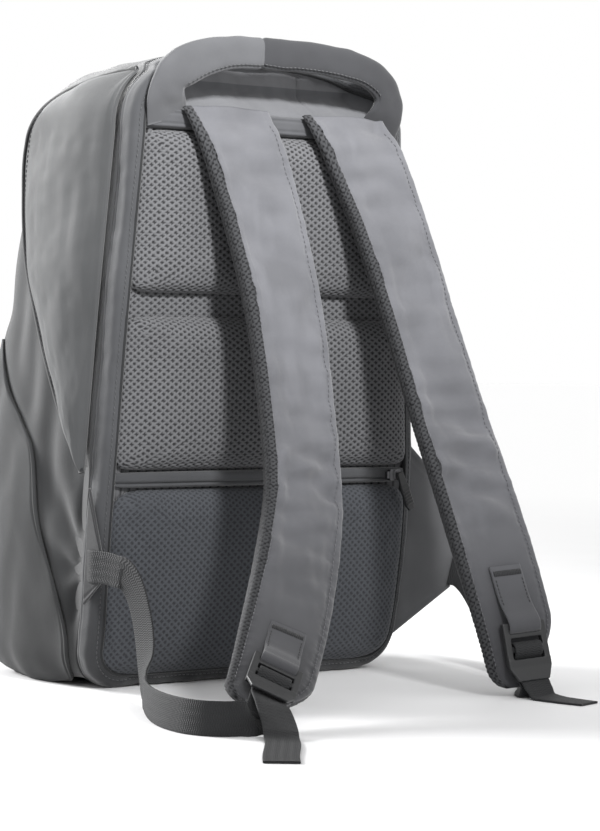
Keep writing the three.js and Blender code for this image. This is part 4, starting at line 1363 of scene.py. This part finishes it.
def pocket_zip_piece():
    """Rolled cover of the pocket zip with its slit, and the slider and pull that hang on it."""
    thickness = 6.4
    slit = 143.2
    points, uv = cushion(140, 151, 10, thickness, panel_half, 0.8, sharp=5)
    points[..., 1] += 2.4 * bell(points[..., 2], slit, 0.9)
    points[..., 1] -= 0.5 * unevenness(points * UPRIGHT_FOLDS, 13, 1.0)
    place(cushion_shape(points, uv).piece("pocket_zip_cover", [GUSSET_CLOTH]), ["pocket_zip"])

    slider_x, slider_z = 114, 145.5
    face = rear_face(slider_x, slider_z) + PANEL_SEAT - thickness
    slider = Shape()
    block(slider, (-4.6, -4, 0.4), (4.6, 4, 4.2))
    block(slider, (-7, -2.6, 0.6), (6.8, 2.6, 3.6))
    block(slider, (-1.4, -3, 3.6), (1.4, 3.4, 5.4))
    hang(slider, (slider_x, face, slider_z), 0)
    place(fuse(slider.piece("pocket_slider", [METAL]), 0.3, 5), ["zip_slider"])

    pull = Shape()
    block(pull, (-2.4, -12, 0.5), (2.4, 0, 2.5), taper=(1.4, 1.0))
    block(pull, (-3.6, -27, 0.2), (3.6, -11, 2.9))
    block(pull, (-3.2, -29.8, 0.3), (3.2, -26, 2.8), taper=(0.7, 1.0))
    for k in range(5):
        block(pull, (-2.8, -25 + 2.4 * k, 2.6), (2.8, -23.9 + 2.4 * k, 3.5))
    hang(pull, (slider_x + 2, face - 5.4, slider_z + 2), 0.4)
    place(fuse(pull.piece("pocket_pull", [PLASTIC]), 0.3, 5), ["zip_pull"])


# Carry handle


def handle_line():
    """Middle line of the handle: up from the binding, across the dent and down again."""
    arch = []
    for share in np.linspace(0, 1, 37):
        a = math.pi * share
        x = HANDLE_HALF * np.sign(math.cos(a)) * abs(math.cos(a)) ** (2 / 3)
        z = HANDLE_FOOT + HANDLE_RISE * math.sin(a) ** (2 / 3)
        arch.append((x, along(REAR_FACE, "z", "y", z) - 5 - 4 * math.sin(a), z))
    right = [(99, -101.6, 391), (101, -103.6, 398)]
    left = [(-x, y, z) for x, y, z in right[::-1]]
    return Line([*right, *arch, *left])


def handle_rings(line, shares, wide, deep):
    """Plain rings of the handle: flat flared feet, and a broader inner edge on the left."""
    depth = np.array([0, 1.0, 0])
    rings = []
    for t in shares:
        centre, ahead = line.at(t), line.ahead(t)
        run = line.length * min(t, 1 - t)
        flare = 1 - smoothstep(run, 8, 42)
        across = unit(np.cross(ahead, depth))
        inner = 2.2 + 3.0 * smoothstep(-centre[0], 40, 92) * smoothstep(run, 8, 60)
        centre = centre + across * (3 * flare + inner)
        half = 9 + inner + 6 * flare
        rings.append(centre + np.outer(wide * half, across) + np.outer(deep * (5 - 3 * flare), depth))
    points = np.array(rings)
    for _ in range(24):
        points[1:-1] = (points[:-2] + 2 * points[1:-1] + points[2:]) / 4
    return points


def handle_piece():
    """Padded arch with flat sewn feet, a darker grip and a seam along its lower edge."""
    grip_end = -20
    foot_rings = 26
    sewn_share = 0.78
    line = handle_line()
    even = line.even(1.5)
    wide, deep = band_section(52, 2.6)
    points = handle_rings(line, even, wide, deep)
    middles = points.mean(axis=1, keepdims=True)
    outs = units(points - middles)
    wrap_seam = bell(middles[..., 0], grip_end, 1.3)
    lower_seam = bell(wide, 0.9, 0.07)[None, :] * (deep < 0)
    run = np.linspace(0, line.length, len(even))[:, None]
    foot = bell(np.minimum(run, line.length - run), 0, 30)
    folds = 0.7 * unevenness(points, 13, 9.0) + 2.4 * foot * unevenness(points, 11, 2.0)
    points += outs * (folds - 1.1 * wrap_seam - 0.9 * lower_seam)[..., None]
    in_grip = np.where(middles[:-1, :, 0] > grip_end, 1, 0)
    shape = Shape()
    shape.tube(points, slot=np.broadcast_to(in_grip, (len(even) - 1, len(wide))))
    piece = place(shape.piece("carry_handle", [HANDLE_CLOTH, GRIP_CLOTH]), ["handle"])

    thread = Shape()
    index = int(np.argmin(np.abs(wide - sewn_share) + (deep > 0) * 9))
    sewn = points[foot_rings:-foot_rings, index]
    stitch_row(thread, sewn, np.broadcast_to([0, -1.0, 0], sewn.shape), sink=0.0)
    place(thread.piece("handle_stitches", [THREAD]), [])


# Main form, pouch, side pads and wings


def body_slack(outer, runs):
    """How far the cloth of the main form sinks between its folds, at each point."""
    anchor_y, anchor_z = -84, 85
    depth = 140
    x, y, z = np.moveaxis(outer, 2, 0)
    long_folds = unevenness(outer * np.array([1, 1, 0.25]), 21, 5.0)
    soft = unevenness(outer, 48, 1.0)
    rise, back = z - anchor_z, y - anchor_y
    spread = bell(np.hypot(rise, back), 48, 42) * ramp(np.abs(x) - 110, 15)
    pulled = spread * (1 + np.cos(8 * np.arctan2(rise, back) + 1.6 * soft))
    slack = 2.2 + 3.6 * long_folds + 3.0 * soft + 2.6 * pulled

    by_pouch_top = bell(z, MID_HEIGHT, 14) * ramp(runs - 0.7, 0.1)
    seam_run = np.interp(z, [row["z"] for row in POUCH_SEAM], [row["run"] for row in POUCH_SEAM])
    by_pouch_side = bell((runs - seam_run) * depth, 0, 11) * (z < MID_HEIGHT)
    calm = (1 - 0.9 * by_pouch_top) * (1 - 0.85 * by_pouch_side) * (1 - 0.55 * ramp(z - 380, 50))
    return np.maximum(slack * calm * ramp(runs, 0.06) * ramp(1 - runs, 0.01), 0)


def body_piece():
    """Hollow soft main form, open under the back panel, with the folds of slack cloth."""
    wall, rim_wall = 7.0, 2.2
    turns = np.arange(400) / 400
    runs = [*np.linspace(0, 0.95, 56), 0.96, 0.97, 0.98, 0.985, *(0.985 + 0.0149 * np.linspace(0.1, 1, 10))]
    outer = np.array([[body_point(t, run, 0) for t in turns] for run in runs])
    normals = grid_normals(outer)
    sense = np.sign(np.sum(normals * (outer - np.array([0, 0, MID_HEIGHT])), axis=2).mean())
    outer = outer - sense * normals * body_slack(outer, np.array(runs)[:, None])[..., None]
    inner_runs = [0, 0.15, 0.35, 0.55, 0.75, 0.85, 0.92, 0.96, 0.985, 0.998]
    inner = [[body_point(t, run, -wall if run else -rim_wall) for t in turns] for run in inner_runs]
    shape = Shape()
    rim, front = shape.grid(outer, wrap=True)
    inner_rim, inner_front = shape.grid(inner, wrap=True, flip=True)
    shape.between(inner_rim, rim)
    shape.cap(front[::-1])
    shape.cap(inner_front)
    place(shape.piece("main_form", [CLOTH]), ["body_shell"])


def pouch_piece():
    """Second skin over the lower front and sides, with a hem along its edge."""
    front_start = 0.88
    pole = 0.99999
    reach = turn_at_height(MID_HEIGHT)
    corner = np.array([turn_at_height(z) for z in np.linspace(1.5, 12, 16)])
    turns = np.sort(np.concatenate([np.linspace(-reach, reach, 240), corner, -corner]))[::-1]
    edge_shares = np.concatenate([np.linspace(0, 0.07, 9)[:-1], np.linspace(0.07, 1, 26)[:-1]])
    front_runs = np.concatenate([np.linspace(front_start, 0.958, 10), np.linspace(0.96, pole, 26)])
    starts = np.array([along(POUCH_SEAM, "z", "run", outline_point(t)[1]) for t in turns])[:, None]
    side_runs = starts + (front_start - starts) * edge_shares
    runs = np.concatenate([side_runs, np.broadcast_to(front_runs, (len(turns), len(front_runs)))], axis=1)
    inside = runs - starts
    shares = inside / (pole - starts)

    def skin(lifts):
        rows = []
        for t, row_runs, row_lifts in zip(turns, runs, lifts):
            rows.append([body_point(t, run, SKIN_GAP + lift) for run, lift in zip(row_runs, row_lifts)])
        return np.array(rows)

    under = skin(np.zeros_like(runs))
    bulge = 3 * np.sin(np.pi * np.minimum(runs / 0.95, 1)) ** 2 * np.minimum(inside / 0.12, 1)
    full = 0.15 + 0.85 * smoothstep(MID_HEIGHT - under[..., 2], 0, 26)
    top = skin(full * (1.3 + 0.9 * bell(inside, 0, 0.008) + bulge))
    normals = units(top - under)
    folds = 2.6 * unevenness(top * UPRIGHT_FOLDS, 21, 3.0) + 2.4 * unevenness(top, 46, 12.0)
    inward = ramp(shares, 0.03) * ramp(1 - shares, 0.01)
    hem = bell(shares, 0.022, 0.005)
    top = top + normals * (inward * np.minimum(folds, 1.6) - 0.9 * hem)[..., None]
    shape = Shape()
    shape.slab(top, under)
    place(shape.piece("pouch_skin", [POUCH_CLOTH]), ["front_pouch"])


def side_pad_piece(side):
    """Padded wedge between the gusset and the piped seam, with its piping and stitches."""
    sense = 1 if side == "right" else -1
    first, final = PIPED_SEAM[0], PIPED_SEAM[-1]
    heights = np.linspace(first["z"], final["z"], 150)
    shares = np.linspace(0, 1, 60)

    def skin(heights, shares, over):
        rows = []
        for z in heights:
            upward = (z - first["z"]) / (final["z"] - first["z"])
            span = max(along(PIPED_SEAM, "z", "run", z) - first["run"], 0.004)
            turn = sense * turn_at_height(z)
            rows.append([body_point(turn, first["run"] + span * s, over(s, upward)) for s in shares])
        return np.array(rows)

    def crowned(s, upward):
        crown = max(math.sin(math.pi * s), 0) ** 0.75 * max(math.sin(math.pi * upward), 0) ** 0.4
        return SKIN_GAP + 1.6 + 10.0 * crown

    coarse = skin(np.linspace(first["z"], final["z"], 34), np.linspace(0, 1, 15), crowned)
    puff = swollen(coarse[:, ::sense], len(heights), len(shares), pressure=4, cap=3.5)
    top = skin(heights, shares, crowned) + puff[:, ::sense]
    under = skin(heights, shares, lambda s, upward: SKIN_GAP)
    normals = units(top - under)
    seam = bell(shares, 0.965, 0.012) + bell(shares, 0.03, 0.012)
    soft = 2.4 * unevenness(top, 44, 14.0) + 0.8 * unevenness(top * UPRIGHT_FOLDS, 15, 3.0)
    top = top + normals * (soft * ramp(np.minimum(shares, 1 - shares), 0.12) - 0.7 * seam)[..., None]
    shape = Shape()
    shape.slab(top, under)
    piece = place(shape.piece(f"side_wedge_{side}", [SIDE_CLOTH]), [f"side_pad_{side}"])

    piping = Shape()
    piping.tube(cord_rings(top[:, -1] + normals[:, -1] * 0.5, 2.1))
    place(piping.piece(f"side_piping_{side}", [PIPING_CLOTH]), [])
    thread = Shape()
    stitched = -5
    stitch_row(thread, top[:, stitched], normals[:, stitched], sink=0.0)
    place(thread.piece(f"side_stitches_{side}", [THREAD]), [])


def edge_points(corners, count):
    """Evenly spaced points along a broken line, and its length."""
    corners = np.array(corners, float)
    run = run_along(corners)
    even = np.linspace(0, run[-1], count)
    return np.stack([np.interp(even, run, corners[:, k]) for k in range(3)], axis=1), run[-1]


def wing_piece(side):
    """Doubled cloth triangle that carries the webbing away from the gusset seam."""
    rows, cols = 60, 30
    fold_depth = 2.0 if side == "right" else 0.8
    root, root_length = edge_points(WINGS[side][0], rows)
    tip, tip_length = edge_points(WINGS[side][1], rows)
    face = unit(np.cross(tip[0] - root[0], root[-1] - root[0]))
    middle = np.array([[a + (b - a) * u for u in np.linspace(0, 1, cols)] for a, b in zip(root, tip)])
    edge = np.minimum(np.linspace(0, 1, rows), np.linspace(1, 0, rows))[:, None]
    half_thick = 1.0 - 0.6 * bell(edge, 0.05, 0.014)
    folds = fold_depth * unevenness(middle * UPRIGHT_FOLDS, 16, 6.0) * ramp(edge, 0.1)
    shape = Shape()
    lifts = (folds + half_thick, folds - half_thick)
    shape.slab(*(middle + lift[..., None] * face for lift in lifts))
    piece = place(shape.piece(f"webbing_wing_{side}", [WING_CLOTH[side]]), [f"anchor_wing_{side}"])


set_camera()
set_light()
floor_piece()
for bag_side in SIDES:
    webbing_piece(bag_side)
    buckle_piece(bag_side)
    tab_piece(bag_side)
back_pads()
for bag_side in SIDES:
    strap_piece(bag_side)
back_panel_piece()
gusset_piece()
top_band_piece()
pocket_zip_piece()
handle_piece()
body_piece()
pouch_piece()
for bag_side in SIDES:
    side_pad_piece(bag_side)
    wing_piece(bag_side)
